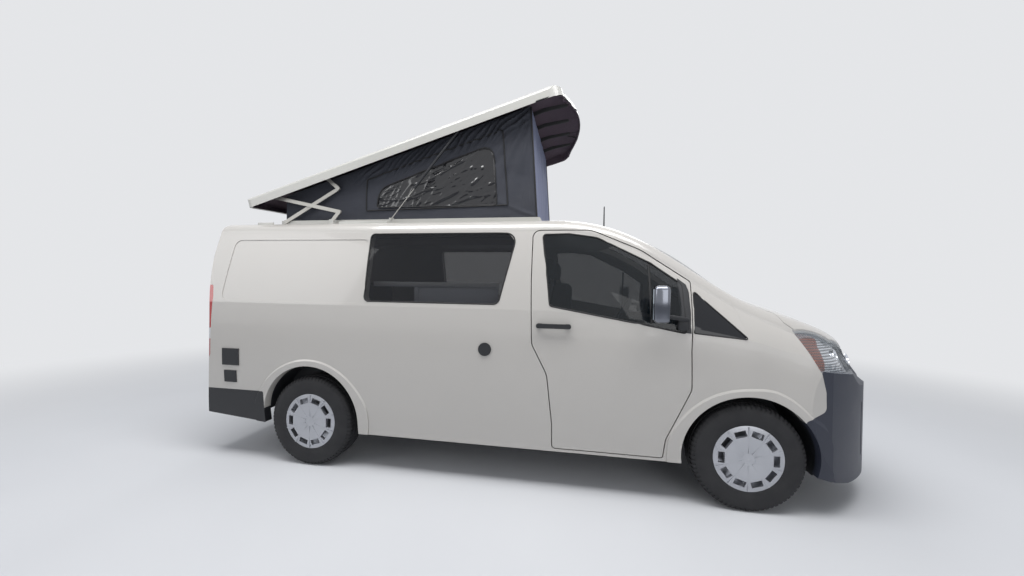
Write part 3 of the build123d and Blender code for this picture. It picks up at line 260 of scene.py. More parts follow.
def tone_group():
    """Colour and roughness that change slowly over a surface."""
    group, start, end = new_group("surface_tone", [
        ("Color", "NodeSocketColor", (0.5, 0.5, 0.5, 1)), ("Roughness", "NodeSocketFloat", 0.4),
        ("Scale", "NodeSocketFloat", 3.0), ("Amount", "NodeSocketFloat", 0.1)],
        [("Color", "NodeSocketColor"), ("Roughness", "NodeSocketFloat")])
    place = group.nodes.new("ShaderNodeTexCoord")
    clouds = group.nodes.new("ShaderNodeTexNoise")
    clouds.inputs["Detail"].default_value = 5.0
    group.links.new(place.outputs["Object"], clouds.inputs["Vector"])
    group.links.new(start.outputs["Scale"], clouds.inputs["Scale"])
    change = math_node(group, "MULTIPLY", math_node(group, "SUBTRACT", clouds.outputs["Fac"], 0.5),
                       start.outputs["Amount"])
    tint = group.nodes.new("ShaderNodeVectorMath")
    tint.operation = "SCALE"
    group.links.new(start.outputs["Color"], tint.inputs[0])
    group.links.new(math_node(group, "ADD", change, 1.0), tint.inputs["Scale"])
    group.links.new(tint.outputs[0], end.inputs["Color"])
    group.links.new(math_node(group, "ADD", change, start.outputs["Roughness"]), end.inputs["Roughness"])
    return group


def grain_group():
    """The height of a fine moulded grain."""
    group, start, end = new_group("moulded_grain", [("Scale", "NodeSocketFloat", 900.0)],
                                  [("Height", "NodeSocketFloat")])
    place = group.nodes.new("ShaderNodeTexCoord")
    cells = group.nodes.new("ShaderNodeTexVoronoi")
    cells.feature = "SMOOTH_F1"
    group.links.new(place.outputs["Object"], cells.inputs["Vector"])
    group.links.new(start.outputs["Scale"], cells.inputs["Scale"])
    group.links.new(cells.outputs["Distance"], end.inputs["Height"])
    return group


def weave_group():
    """The height of a plain weave, from two crossed sets of threads."""
    group, start, end = new_group("plain_weave", [("Scale", "NodeSocketFloat", 500.0)],
                                  [("Height", "NodeSocketFloat")])
    place = group.nodes.new("ShaderNodeTexCoord")
    heights = []
    for direction in ("DIAGONAL", "Z"):
        threads = group.nodes.new("ShaderNodeTexWave")
        threads.bands_direction = direction
        threads.inputs["Distortion"].default_value = 0.6
        group.links.new(place.outputs["Object"], threads.inputs["Vector"])
        group.links.new(start.outputs["Scale"], threads.inputs["Scale"])
        heights.append(threads.outputs["Fac"])
    group.links.new(math_node(group, "ADD", *heights), end.inputs["Height"])
    return group


def band_group():
    """A mask that is 1 where the place along a direction lies between two limits."""
    group, start, end = new_group("band", [("Direction", "NodeSocketVector", (0, 0, 1)),
                                           ("Low", "NodeSocketFloat", 0.0), ("High", "NodeSocketFloat", 1.0)],
                                  [("Mask", "NodeSocketFloat")])
    place = group.nodes.new("ShaderNodeTexCoord")
    along = group.nodes.new("ShaderNodeVectorMath")
    along.operation = "DOT_PRODUCT"
    group.links.new(place.outputs["Object"], along.inputs[0])
    group.links.new(start.outputs["Direction"], along.inputs[1])
    above = math_node(group, "GREATER_THAN", along.outputs["Value"], start.outputs["Low"])
    below = math_node(group, "LESS_THAN", along.outputs["Value"], start.outputs["High"])
    group.links.new(math_node(group, "MULTIPLY", above, below), end.inputs["Mask"])
    return group


TONE, GRAIN, WEAVE, BAND = tone_group(), grain_group(), weave_group(), band_group()
print("effects", len(bpy.data.node_groups))

# %% [markdown]
# A finish is one material: a plain colour and roughness that wander a little, and where the real surface
# has a grain or a weave, a fine relief. They are built by one function, so that each finish is a single
# line of values.

# %% Building a finish
RELIEF_STRENGTH = 0.6


def placed_group(tree, group, **values):
    """A group placed in a material with its own values."""
    node = tree.nodes.new("ShaderNodeGroup")
    node.node_tree = group
    for socket, value in values.items():
        node.inputs[socket].default_value = value
    return node


def finish_of(name, color, roughness, tone_scale=3.0, tone=0.08, relief=None, relief_scale=900.0,
              depth=0.0002, **shader_values):
    """A material whose colour and roughness wander, with an optional grain or weave as its relief."""
    material, shader, tree = new_material(name)
    tones = placed_group(tree, TONE, Color=(*color, 1), Roughness=roughness, Scale=tone_scale, Amount=tone)
    tree.links.new(tones.outputs["Color"], shader.inputs["Base Color"])
    tree.links.new(tones.outputs["Roughness"], shader.inputs["Roughness"])
    if relief:
        pattern = placed_group(tree, relief, Scale=relief_scale)
        bump = tree.nodes.new("ShaderNodeBump")
        bump.inputs["Strength"].default_value = RELIEF_STRENGTH
        bump.inputs["Distance"].default_value = depth
        tree.links.new(pattern.outputs["Height"], bump.inputs["Height"])
        tree.links.new(bump.outputs["Normal"], shader.inputs["Normal"])
    for socket, value in shader_values.items():
        shader.inputs[socket.replace("_", " ").title()].default_value = value
    return material


def two_tone(material, color, direction, low, high):
    """Gives a finish a second colour between two limits along a direction."""
    tree = material.node_tree
    shader = tree.nodes["Principled BSDF"]
    band = placed_group(tree, BAND, Direction=direction, Low=low, High=high)
    mix = tree.nodes.new("ShaderNodeMix")
    mix.data_type = "RGBA"
    mix.inputs["B"].default_value = (*color, 1)
    first = shader.inputs["Base Color"].links[0].from_socket
    tree.links.new(first, mix.inputs["A"])
    tree.links.new(band.outputs["Mask"], mix.inputs["Factor"])
    tree.links.new(mix.outputs["Result"], shader.inputs["Base Color"])


# %% [markdown]
# The body is a warm off-white under a clear coat, the bumpers are unpainted moulded plastic, and the tent
# is a dull proofed cloth. The colours were judged against the photograph. Metals differ by
# roughness: the hubcaps are painted silver, and the scissor arms are plain bright metal.

# %% Finishes
REVERSING_LAMP = (0.985, 1.075)
CABINET_RAIL = (1.452, 1.480)
PAINT = finish_of("cream_paint", (0.475, 0.457, 0.432), 0.30, 1.2, 0.05, Coat_Weight=0.7, Coat_Roughness=0.06)
SHELL_GLOSS = finish_of("shell_laminate", (0.47, 0.465, 0.435), 0.36, 2.0, 0.06, Coat_Weight=0.4,
                        Coat_Roughness=0.12)
SHELL_LINING = finish_of("shell_lining", (0.080, 0.056, 0.076), 0.85, 6.0, 0.5, WEAVE, 260.0, 0.0006)
# Bumper plastic: dark charcoal, with a blue tint that is a painted reflection.
BUMPER_GREY_PAINTED_REFLECTION = finish_of("bumper_plastic", (0.022, 0.026, 0.042), 0.46, 6.0, 0.12, GRAIN, 900.0, 0.0002)
BLACK_PLASTIC = finish_of("black_plastic", (0.013, 0.014, 0.017), 0.48, 8.0, 0.1, GRAIN, 900.0, 0.0002)
SEAL_RUBBER = finish_of("seal_rubber", (0.010, 0.010, 0.011), 0.7, 12.0, 0.1)
TYRE_RUBBER = finish_of("tyre_rubber", (0.011, 0.011, 0.013), 0.72, 9.0, 0.5, GRAIN, 500.0, 0.0003)
HUBCAP_SILVER = finish_of("hubcap_silver", (0.44, 0.45, 0.48), 0.30, 12.0, 0.06, Metallic=0.8)
BRIGHT_METAL = finish_of("bright_metal", (0.42, 0.41, 0.38), 0.42, 30.0, 0.12, Metallic=0.55)
# Mirror chrome: its dark colour is a painted reflection of dark surroundings, not the colour of the metal.
CHROME_PAINTED_DARK_REFLECTION = finish_of("mirror_chrome", (0.20, 0.21, 0.24), 0.12, 8.0, 0.03, Metallic=1.0)
CHASSIS_BLACK = finish_of("chassis_paint", (0.014, 0.014, 0.016), 0.6, 7.0, 0.3)
ENGINE_IRON = finish_of("engine_iron", (0.09, 0.088, 0.085), 0.65, 20.0, 0.3, GRAIN, 300.0, 0.0006,
                        Metallic=0.4)
TENT_CLOTH = finish_of("tent_cloth", (0.040, 0.043, 0.055), 0.84, 5.0, 0.25, WEAVE, 420.0, 0.0005)
FRONT_CLOTH = finish_of("front_cloth", (0.19, 0.21, 0.31), 0.82, 5.0, 0.2, WEAVE, 420.0, 0.0005)
WINDOW_FILM = finish_of("window_film", (0.004, 0.004, 0.006), 0.16, 14.0, 0.2, Coat_Weight=0.8)
PIPING = finish_of("tent_piping", (0.003, 0.003, 0.004), 0.6, 12.0, 0.1)
SEAT_CLOTH = finish_of("seat_cloth", (0.035, 0.037, 0.043), 0.9, 8.0, 0.25, WEAVE, 600.0, 0.0006)
TRIM_GREY = finish_of("trim_grey", (0.055, 0.056, 0.060), 0.62, 8.0, 0.1, GRAIN, 700.0, 0.0002)
CABINET = finish_of("cabinet_board", (0.55, 0.57, 0.64), 0.42, 4.0, 0.08)
FLOOR_VINYL = finish_of("floor_vinyl", (0.10, 0.10, 0.11), 0.6, 10.0, 0.3, GRAIN, 400.0, 0.0003)
EXHAUST_METAL = finish_of("exhaust_metal", (0.28, 0.25, 0.22), 0.45, 15.0, 0.3, Metallic=0.9)
LAMP_RED = finish_of("lamp_red", (0.36, 0.012, 0.014), 0.10, 8.0, 0.05, Coat_Weight=1.0)
REFLECTOR = finish_of("lamp_reflector", (0.78, 0.80, 0.84), 0.12, 8.0, 0.02, Metallic=1.0)
two_tone(LAMP_RED, (0.60, 0.61, 0.63), (0, 0, 1), *REVERSING_LAMP)
two_tone(CABINET, (0.62, 0.63, 0.64), (0, 0, 1), *CABINET_RAIL)
print("finishes", len(bpy.data.materials))

# %% [markdown]
# The windows are thin tinted panes. A pane is a dark glossy surface that lets part of the light straight
# through, which renders faster and cleaner than bent light in so thin a sheet. Forward of a limit along
# the van, over the small window ahead of each front door, the tinted glass is made dark and lets nothing
# through.

# %% Glass
TINTED_ALPHA = 0.50
BLACKED_OUT = (1.15, 3.0)


def glass(name, color, alpha):
    """A thin tinted pane: a glossy surface that lets part of the light straight through."""
    return finish_of(name, color, 0.02, 4.0, 0.02, Alpha=alpha)


TINTED_GLASS = glass("tinted_glass", (0.004, 0.005, 0.008), TINTED_ALPHA)
CLEAR_GLASS = glass("clear_glass", (0.006, 0.009, 0.012), 0.55)
LENS = glass("lamp_lens", (0.50, 0.54, 0.58), 0.20)
pane_tree = TINTED_GLASS.node_tree
blacked_out = placed_group(pane_tree, BAND, Direction=(1, 0, 0), Low=BLACKED_OUT[0], High=BLACKED_OUT[1])
pane_tree.links.new(math_node(pane_tree, "MAXIMUM", blacked_out.outputs["Mask"], TINTED_ALPHA),
                    pane_tree.nodes["Principled BSDF"].inputs["Alpha"])
print("panes", [pane.name for pane in (TINTED_GLASS, CLEAR_GLASS, LENS)])

# %% [markdown]
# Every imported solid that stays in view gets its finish. Its mesh is left as it is, because it carries the
# exact normals of the CAD surfaces and already shades smoothly.

# %% Dress the solids
SIDES = ((-1, "right"), (1, "left"))
WHEEL_CORNERS = ("front_right", "front_left", "rear_right", "rear_left")
DRESSED = (
    (PAINT, "side_panel_right side_panel_left roof_panel front_fenders sliding_door door_right door_left "
            "tailgate bonnet"),
    (SHELL_GLOSS, "tent_frame roof_shell"),
    (BUMPER_GREY_PAINTED_REFLECTION, "front_bumper"),
    (BLACK_PLASTIC, "wheel_housings cowl grille rear_bumper fuel_tank side_inlets aerial handle_right "
                    "handle_left strut_cylinders"),
    (CHASSIS_BLACK, "bulkhead front_crossmember rear_axle knuckle_right knuckle_left"),
    (BRIGHT_METAL, "lower_arms upper_arms links_a links_b strut_rods"),
    (CHROME_PAINTED_DARK_REFLECTION, "mirror_right mirror_left"),
    (CLEAR_GLASS, "windscreen door_glass_right door_glass_left"),
    (TINTED_GLASS, "side_glass tailgate_glass"),
    (LENS, "headlamps"),
    (LAMP_RED, "tail_lamps"),
    (FLOOR_VINYL, "floor_pan"),
    (TRIM_GREY, "dashboard steering_wheel"),
    (SEAT_CLOTH, "front_seats rear_bench"),
    (CABINET, "galley_cabinet"),
    (TENT_CLOTH, "canvas"),
    (ENGINE_IRON, "engine_block"),
    (EXHAUST_METAL, "exhaust"),
)
FINISH_OF_NODE = {node: finish for finish, nodes in DRESSED for node in nodes.split()}
for corner in WHEEL_CORNERS:
    FINISH_OF_NODE["tyre_" + corner] = TYRE_RUBBER
    FINISH_OF_NODE["rim_" + corner] = HUBCAP_SILVER
for node, solid in NODES.items():
    solid.data.materials.clear()
    solid.data.materials.append(FINISH_OF_NODE[node])
print("dressed solids", len(NODES))

# %% [markdown]
# Pieces that are round come from one drawn line. A single point is extruded from place to place, as with
# the extrude tool by hand, and the line is then spun round its axle.


# %% Drawing and finishing helpers


def drawn_line(name, points):
    """A mesh line through points, extruded from a single point."""
    deselect()
    bpy.ops.mesh.primitive_plane_add(size=0.01, location=points[0])
    line = bpy.context.object
    line.name = name
    bpy.ops.object.transform_apply(location=True, rotation=True, scale=True)
    bpy.ops.object.mode_set(mode="EDIT")
    bpy.ops.mesh.select_mode(type="VERT")
    bpy.ops.mesh.select_all(action="SELECT")
    bpy.ops.mesh.merge(type="CENTER")
    for before, after in zip(points, points[1:]):
        bpy.ops.mesh.extrude_vertices_move(TRANSFORM_OT_translate={"value": Vector(after) - Vector(before)})
    bpy.ops.object.mode_set(mode="OBJECT")
    return line


def spun(line, centre, axis, steps):
    """Spins a drawn line all the way round an axis, and closes the seam."""
    only(line)
    bpy.ops.object.mode_set(mode="EDIT")
    bpy.ops.mesh.select_all(action="SELECT")
    bpy.ops.mesh.spin(steps=steps, angle=math.tau, center=centre, axis=axis)
    bpy.ops.mesh.select_all(action="SELECT")
    bpy.ops.mesh.remove_doubles(threshold=0.00005)
    bpy.ops.mesh.normals_make_consistent(inside=False)
    bpy.ops.object.mode_set(mode="OBJECT")
    return line


def select_faces(piece, wanted):
    """Selects the faces for which wanted(centre, normal) is true, ready for edit mode."""
    only(piece)
    bpy.ops.object.mode_set(mode="EDIT")
    bpy.ops.mesh.select_mode(type="FACE")
    bpy.ops.mesh.select_all(action="DESELECT")
    bpy.ops.object.mode_set(mode="OBJECT")
    for face in piece.data.polygons:
        face.select = bool(wanted(face.center, face.normal))
    bpy.ops.object.mode_set(mode="EDIT")


def finished(piece, materials, body, angle=30, replaces=(), second=None):
    """Applies the place of a piece, shades it, and hands it to its body. Where second(centre) is true, a face
    gets the second material."""
    only(piece)
    bpy.ops.object.transform_apply(location=True, rotation=True, scale=True)
    bpy.ops.object.shade_smooth_by_angle(angle=math.radians(angle))
    piece.data.materials.clear()
    for material in materials if isinstance(materials, list) else [materials]:
        piece.data.materials.append(material)
    if second:
        for face in piece.data.polygons:
            face.material_index = int(second(face.center))
    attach(piece, body)
    if replaces:
        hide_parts(*replaces)
    return piece


def copied(piece, name, move=(0, 0, 0)):
    """A copy with its own mesh, moved."""
    copy = piece.copy()
    copy.data = piece.data.copy()
    copy.name = name
    bpy.context.scene.collection.objects.link(copy)
    only(copy)
    copy.location = move
    bpy.ops.object.transform_apply(location=True, rotation=True, scale=True)
    return copy


def thickened(sheet, thickness, offset=0):
    """Gives a sheet its thickness, half to each side, or all outwards with an offset of 1."""
    wall = sheet.modifiers.new("thickness", "SOLIDIFY")
    wall.thickness, wall.offset = thickness, offset
    bpy.ops.object.modifier_apply(modifier=wall.name)
    return sheet


# %% [markdown]
# A van tyre has bulged walls with a fine rib near the rim, a nearly flat tread with three grooves round
# it, and cross cuts at the shoulders. One outline with its grooves is spun, and the cross cuts are pushed
# in as every third face of the shoulder rings. The solid's tyre is plain, so this one stands for it.

# %% Tyres
TYRE_STEPS = 210
CUT_EVERY = 3
CUT_DEPTH = 0.004
SHOULDER_BELOW_TREAD, SHOULDER_ACROSS = 0.022, 0.05
tyre_low, tyre_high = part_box("tyre_front_right")
TYRE_RADIUS = (tyre_high.x - tyre_low.x) / 2
WALL_HALF = (tyre_high.y - tyre_low.y) / 2
# One half of the outline, from the rim to the tread's middle. Columns: radius below the tread, place across
TYRE_HALF = [
    (0.150, 0.084), (0.146, 0.094), (0.138, 0.099), (0.130, 0.1015), (0.124, 0.1035), (0.120, 0.1032),
    (0.112, 0.1058), (0.090, WALL_HALF), (0.065, WALL_HALF - 0.0006), (0.044, 0.1045), (0.028, 0.099),
    (0.014, 0.0925), (0.006, 0.085), (0.002, 0.074), (0.001, 0.058), (0.001, 0.048), (0.008, 0.0465),
    (0.008, 0.0395), (0.0003, 0.038), (0.0, 0.022), (0.0, 0.005), (0.008, 0.0035),
]
tyre_line = [(TYRE_RADIUS - below, across) for below, across in TYRE_HALF]
tyre_line += [(radius, -across) for radius, across in reversed(tyre_line)]
tyre_model = spun(drawn_line("tyre_model", [(radius, across, 0) for radius, across in tyre_line]), (0, 0, 0),
                  (0, 1, 0), TYRE_STEPS)


def in_cross_cut(centre, normal):
    """Shoulder faces at every third step round the tyre."""
    step = round(math.atan2(centre.z, centre.x) / math.tau * TYRE_STEPS - 0.5)
    radius = math.hypot(centre.x, centre.z)
    on_shoulder = radius > TYRE_RADIUS - SHOULDER_BELOW_TREAD and abs(centre.y) > SHOULDER_ACROSS
    return step % CUT_EVERY == 0 and on_shoulder


select_faces(tyre_model, in_cross_cut)
bpy.ops.mesh.extrude_region_shrink_fatten(TRANSFORM_OT_shrink_fatten={"value": -CUT_DEPTH})
bpy.ops.object.mode_set(mode="OBJECT")
for corner in WHEEL_CORNERS:
    low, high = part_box("tyre_" + corner)
    tyre = copied(tyre_model, "tread_" + corner, (low + high) / 2)
    finished(tyre, TYRE_RUBBER, "wheel_" + corner, 28, ["tyre_" + corner])
bpy.data.objects.remove(tyre_model)
print("tyre faces", len(tyre.data.polygons))

# %% [markdown]
# The tent is cloth on a wedge between the roof frame and the lifted shell. Each wall is a fine grid laid
# over its side of the wedge, whose points are then moved in and out: slanted gathers under the shell,
# folds that run down from the raised corner, and small creases. The window is the same sheet, but glossy
# black film, so its creases are sharper. The solid wedge is plain, so these sheets stand for it.

# %% The wedge and its outlines
tent_low, tent_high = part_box("canvas")
TENT_TOP_FRONT = 0.080
TENT_TOP_REAR = 2.222
WALL_THICKNESS = 0.0016
SEWN_ACROSS, SEWN_UP = 0.02, 0.03
# The window panel and the window in it, in the side view, in metres. Columns: x, z, corner radius
PANEL = [(-1.315, 2.079, 0.008), (-0.092, 2.104, 0.008), (-0.142, 2.703, 0.02), (-1.310, 2.342, 0.02)]
WINDOW = [(-1.223, 2.103, 0.02), (-0.182, 2.106, 0.02), (-0.215, 2.600, 0.11), (-1.190, 2.262, 0.12)]
CORNERS = {
    "rear_low": (tent_low.x, tent_low.z), "front_low": (tent_high.x, tent_low.z),
    "front_top": (TENT_TOP_FRONT, tent_high.z), "rear_top": (tent_low.x, TENT_TOP_REAR),
}


def rounded(corners, steps=7):
    """The points of a closed outline of (x, z, radius) corners, each corner a short arc."""
    points = []
    for index, (x, z, radius) in enumerate(corners):
        here = Vector((x, z))
        before = (Vector(corners[index - 1][:2]) - here).normalized()
        after = (Vector(corners[(index + 1) % len(corners)][:2]) - here).normalized()
        reach = radius / math.tan(before.angle(after) / 2)
        for step in range(steps + 1):
            share = step / steps
            start, end = here + before * reach * (1 - share), here + after * reach * share
            points.append(start.lerp(end, share))
    return points


def inside(outline, x, z):
    """Whether a point lies inside a closed outline."""
    crossings = 0
    for (x1, z1), (x2, z2) in zip(outline, outline[1:] + outline[:1]):
        if (z1 > z) != (z2 > z) and x < x1 + (z - z1) / (z2 - z1) * (x2 - x1):
            crossings += 1
    return crossings % 2 == 1


PANEL_LINE, WINDOW_LINE = rounded(PANEL), rounded(WINDOW)


def wall_top(x):
    """The height of a side wall's sloping top edge."""
    return TENT_TOP_REAR + (x - tent_low.x) / (TENT_TOP_FRONT - tent_low.x) * (tent_high.z - TENT_TOP_REAR)


def edge_fade(u, v):
    """1 inside a sheet, falling to 0 at its sewn edges."""
    return min(1, u / SEWN_ACROSS, (1 - u) / SEWN_ACROSS, v / SEWN_UP, (1 - v) / SEWN_UP)


print("wedge", [round(value, 3) for value in (*tent_low, *tent_high)])

# %% [markdown]
# Cloth that is pulled tight at its edges folds in a few ways at once. The side wall has slanted gathers
# under the shell, long folds that fan out from the raised corner, one fold at its foot, and soft creases.
# The film of the window creases sharply. The front and rear walls have upright folds. Each is a smooth
# function of the place on the wall, so that every run gives the same cloth.

# %% Folds of the cloth


def film_creases(x, z):
    """Sharp creases of the window's film: ridges along the zero lines of slow noise."""
    across = Vector((2.2 * x + 2.0 * z, 10.0 * z - 5.0 * x, 3.0))
    steep = Vector((13.0 * x - 7.0 * z, 3.0 * z + 2.0 * x, 9.0))
    creases = [max(0.0, 1 - 4.5 * abs(noise.noise(place))) ** 2
               for place in (across, across * 1.9, steep)]
    return 0.006 * creases[0] + 0.004 * creases[1] + 0.003 * creases[2]


def side_folds(u, v, x, z):
    """How far a side wall stands out at a place: gathers, long folds, creases, and the film's creases."""
    slack = 0.010 * math.sin(math.pi * u) * math.sin(math.pi * v)
    if inside(WINDOW_LINE, x, z):
        return slack + film_creases(x, z) - 0.008
    wave = math.sin(math.tau * ((x - 0.9 * z) / 0.060 + 1.2 * noise.noise(Vector((4 * x, 3 * z, 0)))))
    under_shell = math.exp(-((wall_top(x) - z - 0.07) / 0.065) ** 2)
    gathers = 0.018 * wave * under_shell * min(1, max(0, (u - 0.3) * 4))
    from_corner = math.atan2(TENT_TOP_FRONT - x + 0.05, tent_high.z + 0.05 - z)
    reach = math.hypot(TENT_TOP_FRONT - x, tent_high.z - z)
    long_folds = 0.009 * math.sin(from_corner * 30) * math.exp(-reach / 0.55)
    low_corner = math.hypot(tent_high.x - x, z - tent_low.z)
    off_fold = z - tent_low.z - 0.42 * (tent_high.x - x)
    foot_fold = 0.010 * math.exp(-(off_fold / 0.018) ** 2) * math.exp(-low_corner / 0.3)
    creases = 0.006 * noise.fractal(Vector((3.2 * x, 6, 5.0 * z)), 1.0, 2.0, 3)
    return slack + gathers + long_folds + foot_fold + creases


def end_folds(u, v, x, z):
    """How far a front or rear wall stands out: upright folds between its sewn edges."""
    wander = 0.5 * noise.noise(Vector((2 * u, 1.5 * v, 7)))
    broad, narrow = math.sin(math.tau * (5 * u + wander)), math.sin(math.tau * (13 * u - 1.6 * wander))
    return 0.006 * broad + 0.003 * narrow + 0.008 * math.sin(math.pi * u) * math.sin(math.pi * v)


print("gathers at the front", round(side_folds(0.9, 0.9, -0.1, 2.65), 4), "m")

# %% [markdown]
# Each wall is sewn to the frame below and to the shell above. It is a grid over the four corners of its
# side, whose points are moved by a fold function and which then gets the thickness of cloth.

# %% Tent walls
SIDE_STEPS, FRONT_STEPS, REAR_STEPS = (290, 84), (150, 70), (120, 24)


def cloth_wall(name, corners, out, folds, across_steps, up_steps):
    """A sheet over four corners (low start, low end, top end, top start), moved by a fold function."""
    deselect()
    bpy.ops.mesh.primitive_grid_add(x_subdivisions=across_steps, y_subdivisions=up_steps, size=1)
    wall = bpy.context.object
    wall.name = name
    low_start, low_end, top_end, top_start = [Vector(corner) for corner in corners]
    out = Vector(out)
    for vertex in wall.data.vertices:
        u, v = vertex.co.x + 0.5, vertex.co.y + 0.5
        place = low_start.lerp(low_end, u).lerp(top_start.lerp(top_end, u), v)
        vertex.co = place + out * folds(u, v, place.x, place.z) * edge_fade(u, v)
    only(wall)
    return thickened(wall, WALL_THICKNESS)


def flat_area(corners):
    """The area of a flat four-cornered sheet, and its width and length."""
    a, b, c, d = [Vector(corner) for corner in corners]
    area = ((c - a).cross(d - b)).length / 2
    return area, max((b - a).length, (c - d).length), max((d - a).length, (c - b).length)


def on_wall(corner, y):
    x, z = CORNERS[corner]
    return (x, y, z)


def tent_wall(name, corners, out, folds, steps, materials, replaces=(), second=None):
    """A finished wall of the tent, with a mesh of its own. Its flat size is worked out but not kept."""
    wall = cloth_wall(name, corners, out, folds, *steps)
    finished(wall, materials, "body", 60, replaces, second)
    area, width, length = flat_area(corners)
    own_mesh(wall)
    return wall


def is_film(centre):
    return inside(WINDOW_LINE, centre.x, centre.z)


for side, side_name in SIDES:
    y = side * tent_high.y
    names = ("rear_low", "front_low", "front_top", "rear_top")
    wall = tent_wall("tent_side_" + side_name, [on_wall(name, y) for name in names], (0, side, 0), side_folds,
                     SIDE_STEPS, [TENT_CLOTH, WINDOW_FILM], ["canvas"] if side < 0 else (), is_film)
print("side wall faces", len(wall.data.polygons))
half_width = tent_high.y
tent_wall("tent_front", [on_wall("front_low", -half_width), on_wall("front_low", half_width),
                         on_wall("front_top", half_width), on_wall("front_top", -half_width)],
          (1, 0, 0.07), end_folds, FRONT_STEPS, [FRONT_CLOTH])
tent_wall("tent_rear", [on_wall("rear_low", half_width), on_wall("rear_low", -half_width),
                        on_wall("rear_top", -half_width), on_wall("rear_top", half_width)],
          (-1, 0, 0), end_folds, REAR_STEPS, [TENT_CLOTH])

# %% [markdown]
# Black piping edges the window panel, the window and the wall's front corner. Each is one line of points
# on the cloth, given a round section.

# %% Tent piping
PIPING_STEP, PIPING_PROUD = 0.035, 0.003


def tube(name, points, radius, closed=False):
    """A round bead along a line of points."""
    line = drawn_line(name, [tuple(point) for point in points])
    only(line)
    if closed:
        bpy.ops.object.mode_set(mode="EDIT")
        bpy.ops.mesh.select_all(action="DESELECT")
        bpy.ops.object.mode_set(mode="OBJECT")
        line.data.vertices[0].select = line.data.vertices[-1].select = True
        bpy.ops.object.mode_set(mode="EDIT")
        bpy.ops.mesh.select_mode(type="VERT")
        bpy.ops.mesh.edge_face_add()
        bpy.ops.object.mode_set(mode="OBJECT")
    bpy.ops.object.convert(target="CURVE")
    line = bpy.context.object
    line.data.bevel_depth, line.data.bevel_resolution = radius, 2
    line.data.use_fill_caps = True
    bpy.ops.object.convert(target="MESH")
    return bpy.context.object


def cloth_point(side, x, z, proud):
    """A point on the cloth of a side wall, a little proud of it."""
    v = (z - tent_low.z) / (wall_top(x) - tent_low.z)
    front = tent_high.x + (TENT_TOP_FRONT - tent_high.x) * v
    u = (x - tent_low.x) / (front - tent_low.x)
    return (x, side * (tent_high.y + side_folds(u, v, x, z) * edge_fade(u, v) + proud), z)


def spread(points, step, closed=True):
    """Points at even steps along a line."""
    ends = list(zip(points, points[1:] + (points[:1] if closed else [])))
    result = []
    for start, end in ends:
        count = max(1, round((end - start).length / step))
        result += [start.lerp(end, index / count) for index in range(count)]
    return result if closed else result + [points[-1]]


for side, side_name in SIDES:
    for label, line, radius in (("panel", PANEL_LINE, 0.0055), ("window", WINDOW_LINE, 0.0060)):
        points = [cloth_point(side, x, z, PIPING_PROUD) for x, z in spread(line, PIPING_STEP)]
        bead = tube("tent_%s_piping_%s" % (label, side_name), points, radius, closed=True)
        finished(bead, PIPING, "body", 60)
        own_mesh(bead)
    edge = [Vector((CORNERS["front_low"][0], side * tent_high.y, CORNERS["front_low"][1] + 0.004)),
            Vector((CORNERS["front_top"][0], side * tent_high.y, CORNERS["front_top"][1] - 0.006))]
    bead = tube("tent_corner_piping_" + side_name, spread(edge, 0.08, closed=False), 0.007)
    finished(bead, PIPING, "body", 60)
    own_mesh(bead)
print("piping", len([item for item in bpy.data.objects if "piping" in item.name]))

# %% [markdown]
# The shell is pale laminate outside and lined with dark cloth inside. The lining is the inner skin of the
# shell itself: a copy keeps only the faces that look inwards, and they come a millimetre off the
# laminate. The roof solid is packed in its raised place, so the faces are sorted in the closed pose.

# %% Shell lining
SHELL_CENTRE = Vector((-2.860, 0, 1.994))
SHELL_ANGLE = math.radians(16.7)
CLOSED = Matrix.Rotation(SHELL_ANGLE, 4, "Y")
SHELL_HALF_INSIDE, SIDE_WALL_FROM = 0.772, 0.745
SHELL_MIDDLE, END_WALL_REACH = -0.9, 1.2
LINING_OFF, SKIN_THICKNESS = 0.0012, 0.0006


def closed_place(point):
    """Where a point of the raised roof lies when the roof is closed."""
    return CLOSED @ (Vector(point) - SHELL_CENTRE) + SHELL_CENTRE


def raised_place(point):
    """Where a point of the closed roof lies when the roof is raised."""
    return CLOSED.inverted() @ (Vector(point) - SHELL_CENTRE) + SHELL_CENTRE


def looks_outwards(centre, normal):
    """Faces of the shell that the lining leaves out: the outside, the rim's edge and the hinge ears."""
    place, way = closed_place(centre), CLOSED.to_3x3() @ normal
    if way.z < -0.5:
        return place.z < 2.0 and place.x < 0.05 or abs(place.y) > SHELL_HALF_INSIDE
    inner_side = way.y * place.y < 0 and abs(place.y) > SIDE_WALL_FROM
    inner_end = way.x * (place.x + 1.0) < 0 and abs(place.x - SHELL_MIDDLE) > END_WALL_REACH
    return not (inner_side or inner_end) or way.z > 0.3


def skin_copy(node, name, leave_out, lift):
    """A thin skin from the faces of a solid that leave_out(centre, normal) doesn't name, lifted off it."""
    deselect()
    skin = copied(NODES[node], name)
    select_faces(skin, leave_out)
    bpy.ops.mesh.delete(type="FACE")
    bpy.ops.mesh.select_all(action="SELECT")
    bpy.ops.mesh.remove_doubles(threshold=0.00002)
    bpy.ops.transform.shrink_fatten(value=lift)
    bpy.ops.object.mode_set(mode="OBJECT")
    return thickened(skin, SKIN_THICKNESS, 1)


lining = skin_copy("roof_shell", "shell_lining", looks_outwards, LINING_OFF)
finished(lining, SHELL_LINING, "roof_shell", 40)
print("lining faces", len(lining.data.polygons))

# %% [markdown]
# Under the shell's nose run four tapered ribs, and a black seal follows the edge of the nose. The seal's
# line is found from the solid's own edge, as the lowest point in each direction seen from behind the
# nose.

